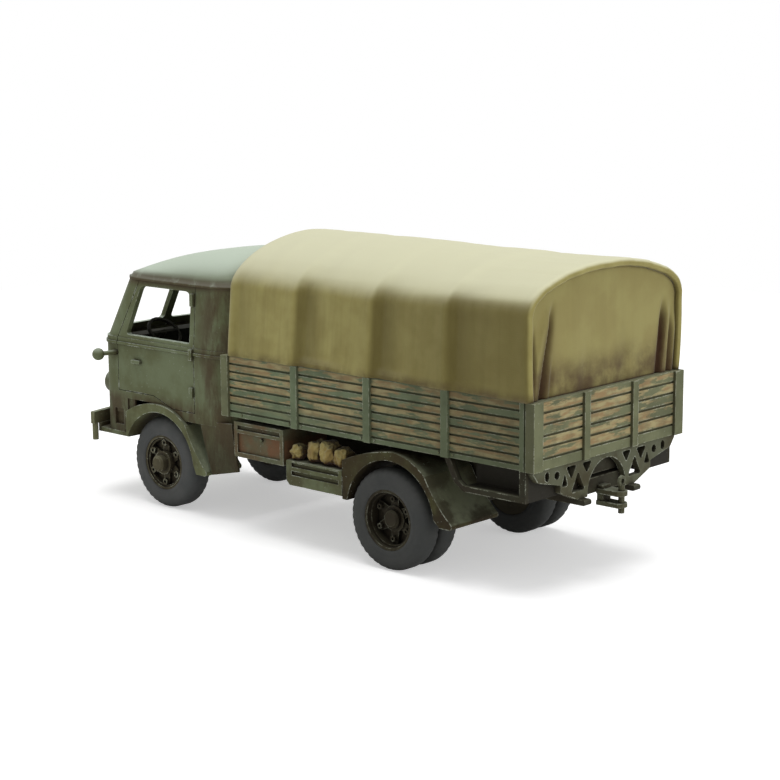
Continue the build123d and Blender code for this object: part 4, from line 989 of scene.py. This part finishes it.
def sit(piece):
    """Keeps every point on the locker and inside the box of the CAD's rolls."""
    low = (roll_low.x, roll_low.y, locker_top)
    for vert in piece.data.vertices:
        vert.co = [min(max(value, least), most) for value, least, most in zip(vert.co, low, roll_high)]


print("room for the rolls, in mm", in_mm(*(roll_high - roll_low)))

# %% [markdown]
# The rolled sack is a short barrel with round rims. Its outer end is puckered, where the cloth is
# gathered.

# %% Rolled sack
roll_radius = 1.32 * MM
roll_length = 2.5 * MM
roll_edge = 0.75 * MM
pucker_depth = 0.35 * MM
roll_centre = Vector((roll_high.x - 0.1 * MM - roll_length / 2, roll_low.y + 1.38 * MM,
                      locker_top + roll_radius))
roll_mesh = bmesh.new()
bmesh.ops.create_cone(roll_mesh, segments=40, cap_ends=True, radius1=roll_radius, radius2=roll_radius,
                      depth=roll_length,
                      matrix=Matrix.Translation(roll_centre) @ Matrix.Rotation(pi / 2, 4, "Y"))
rims = [edge for edge in roll_mesh.edges if len(edge.link_faces) == 2
        and any(len(face.verts) > 4 for face in edge.link_faces)]
bmesh.ops.bevel(roll_mesh, geom=rims, offset=roll_edge, segments=6, profile=0.5, affect="EDGES",
                material=-1)
rolled_sack = finish_piece("rolled_sack", roll_mesh, bundle_cloth)
merged(rolled_sack, 0.10 * MM)
for vert in rolled_sack.data.vertices:
    off = Vector((0, vert.co.y - roll_centre.y, vert.co.z - roll_centre.z))
    if vert.co.x > roll_centre.x + roll_length / 4 and off.length > 0.15 * MM:
        angle = off.angle(Vector((0, 1, 0))) * (1 if off.z > 0 else -1)
        pucker = 0.5 + 0.5 * cos(5 * angle + 0.6)
        vert.co.x -= pucker_depth * pucker * min(1, off.length / (0.9 * MM))
creased(rolled_sack, 3.0, 0.16 * MM, 900)
sit(rolled_sack)
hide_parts("stowage_rolls")

# %% [markdown]
# The bundle is three sacks side by side. Each is a ball, made squarer by a power of its
# coordinates, and they overlap, so that the remesh fuses them where they are tied together.

# %% Tied bundle
sack_depth = 3.4 * MM
sack_rows = [
    # in mm: middle y from the roll's front, half width, height, lean
    (5.15, 1.52, 3.75, 0.18),
    (8.10, 1.62, 3.95, -0.12),
    (11.05, 1.48, 3.25, 0.10),
]
bundle_mesh = bmesh.new()
for middle, half, height, lean in sack_rows:
    made = bmesh.ops.create_uvsphere(bundle_mesh, u_segments=32, v_segments=20, radius=1)["verts"]
    centre = Vector((roll_high.x - 0.3 * MM - sack_depth / 2, roll_low.y + middle * MM,
                     locker_top + height / 2 * MM))
    for vert in made:
        box = Vector([abs(v) ** 0.72 * (1 if v > 0 else -1) for v in vert.co])
        vert.co = centre + Vector((box.x * sack_depth / 2, (box.y * half + box.z * lean) * MM,
                                   box.z * height / 2 * MM))
tied_bundle = finish_piece("tied_bundle", bundle_mesh, bundle_cloth)
merged(tied_bundle, 0.09 * MM)
creased(tied_bundle, 11.0, 0.34 * MM, 500)
sit(tied_bundle)
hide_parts("stowage_rolls")

# %% [markdown]
# A moulded tyre has a round shoulder and small notches across it. The CAD's tyre is a plain ring
# of the same size, so the dressed tyre spins a rounder section inside that ring's outline.

# %% Tyre section
spin_steps = 120


def tyre_section(face_x, width, side, radius, bead):
    """The section of one tyre, as (x, radius): bead, bulged wall, round shoulder, tread, and back."""
    half = [
        # depth from the outer face, drop from the tread
        (0.10, radius / MM - bead / MM), (0.02, 2.55), (0.06, 2.35), (0.0, 2.15),
        (0.03, 1.30), (0.16, 0.78), (0.42, 0.36), (0.80, 0.10), (1.15, 0.0)]
    out = [(face_x - side * depth * MM, radius - drop * MM) for depth, drop in half]
    inner = [(face_x - side * (width - depth * MM), radius - drop * MM) for depth, drop in half]
    return out + inner[::-1]


def add_ring(shape, profile, centre):
    """Spins a closed section about the axle."""
    ring = [shape.verts.new(Vector((x, centre.y, centre.z + radius))) for x, radius in profile]
    edges = [shape.edges.new((a, b)) for a, b in zip(ring, ring[1:] + ring[:1])]
    bmesh.ops.spin(shape, geom=ring + edges, cent=centre, axis=(1, 0, 0), angle=2 * pi,
                   steps=spin_steps, use_merge=True)


print("a tyre's section has", len(tyre_section(0, MM, 1, MM, MM)), "points")

# %% [markdown]
# The rear wheels carry two tyres each, with a gap between. The points of every third step on the
# shoulder sink a little, which cuts the notches.

# %% Four wheels' tyres
notch_depth = 0.13 * MM
notch_every = 3
twin_gap = 0.5 * MM
tyre_rows = [
    # the wheel's name, side, how many tyres share it
    ("front_left", 1, 1),
    ("front_right", -1, 1),
    ("rear_left", 1, 2),
    ("rear_right", -1, 2),
]
for wheel, side, count in tyre_rows:
    low, high = node_box(wheel + "_tyre")
    rim_low, rim_high = node_box(wheel + "_rim")
    centre = (low + high) / 2
    radius = (high.z - low.z) / 2
    bead = (rim_high.z - rim_low.z) / 2
    gap = twin_gap if count == 2 else 0.0
    width = (high.x - low.x - gap) / count
    outer_x = high.x if side > 0 else low.x
    tyre = bmesh.new()
    for number in range(count):
        face_x = outer_x - side * number * (width + gap)
        add_ring(tyre, tyre_section(face_x, width, side, radius, bead), centre)
    sunk = 0
    for vert in tyre.verts:
        off = Vector((0, vert.co.y - centre.y, vert.co.z - centre.z))
        step = round((off.angle(Vector((0, 0, 1))) if off.length else 0) / (2 * pi) * spin_steps)
        drop = radius - off.length
        if step % notch_every == 0 and 0.05 * MM < drop < 0.9 * MM:
            vert.co -= off.normalized() * notch_depth
            sunk += 1
    piece = finish_piece(wheel + "_moulded_tyre", tyre, rubber, wheel + "_wheel")
    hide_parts(wheel + "_tyre")
    print(wheel, "radius in mm", in_mm(radius), "notched points", sunk)

# %% [markdown]
# The corner markers are a ball on a stalk. The CAD's ball has flat sides to stay light, so the
# dressed one is a round ball of the same size on the same stalk.

# %% Corner markers
marker_low, marker_high = node_box("corner_markers")
ball_radius = 1.1 * MM
ball_x = marker_high.x - ball_radius
cab_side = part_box("cab_nose")[1][0]
marker_mesh = bmesh.new()
ball_y = marker_low.y + ball_radius
ball_z = marker_low.z + ball_radius
for side in (1, -1):
    ball = Vector((side * ball_x, ball_y, ball_z))
    foot = Vector((side * (cab_side - 0.5 * MM), ball_y + 2.0 * MM, ball_z + 0.3 * MM))
    bmesh.ops.create_uvsphere(marker_mesh, u_segments=32, v_segments=20, radius=ball_radius,
                              matrix=Matrix.Translation(ball))
    stalk = ball - foot
    bmesh.ops.create_cone(marker_mesh, segments=20, cap_ends=True, radius1=0.5 * MM, radius2=0.36 * MM,
                          depth=stalk.length, matrix=Matrix.Translation(foot + stalk / 2)
                          @ stalk.to_track_quat("Z", "Y").to_matrix().to_4x4())
markers = finish_piece("round_markers", marker_mesh, field_green)
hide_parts("corner_markers")

# %% [markdown]
# Bolt heads hold each post to the bed's foot rail. They are too small for the CAD, and a row of
# six-sided buttons with a bevelled face catches the light where the model has its cast bolts.

# %% Bolt heads
bolt_radius = 0.26 * MM
bolt_mesh = bmesh.new()
bed_low, bed_high = node_box("bed_side_left")
post_ys = [bed_low.y + 2.9 * MM, 1.3 * MM, 4.0 * MM, 17.3 * MM, 20.1 * MM, 33.4 * MM, 36.2 * MM]
for side in (1, -1):
    for y in post_ys:
        at = Vector((side * (bed_high.x - 0.45 * MM + 0.05 * MM), y, bed_low.z + 0.5 * MM))
        bmesh.ops.create_cone(bolt_mesh, segments=6, cap_ends=True, radius1=bolt_radius,
                              radius2=0.8 * bolt_radius, depth=0.22 * MM,
                              matrix=Matrix.Translation(at) @ Matrix.Rotation(side * pi / 2, 4, "Y"))
finish_piece("post_bolts", bolt_mesh, field_green, smooth=False)

# %% [markdown]
# The floor is a wide pale plane that only catches the truck's soft shadow. Where the camera looks
# at it, a little glow lifts it to the white of the room, so that no horizon shows.

# %% Floor
floor_half = 0.30
floor_paint = bpy.data.materials.new("floor_paint")
floor_paint.use_nodes = True
floor_tree = floor_paint.node_tree
set_inputs(floor_tree.nodes["Principled BSDF"], {
    "Base Color": (0.93, 0.93, 0.93), "Roughness": 1.0, "Specular IOR Level": 0.0,
    "Emission Color": white, "Emission Strength": times(looking_rays(floor_tree), 0.45)})
floor_mesh = bmesh.new()
bmesh.ops.create_grid(floor_mesh, x_segments=1, y_segments=1, size=floor_half)
floor_data = bpy.data.meshes.new("floor")
floor_mesh.to_mesh(floor_data)
floor_mesh.free()
floor_data.materials.append(floor_paint)
floor = bpy.data.objects.new("floor", floor_data)
floor.location.z = -0.02 * MM
scene.collection.objects.link(floor)
print("floor of", 2 * floor_half, "m")
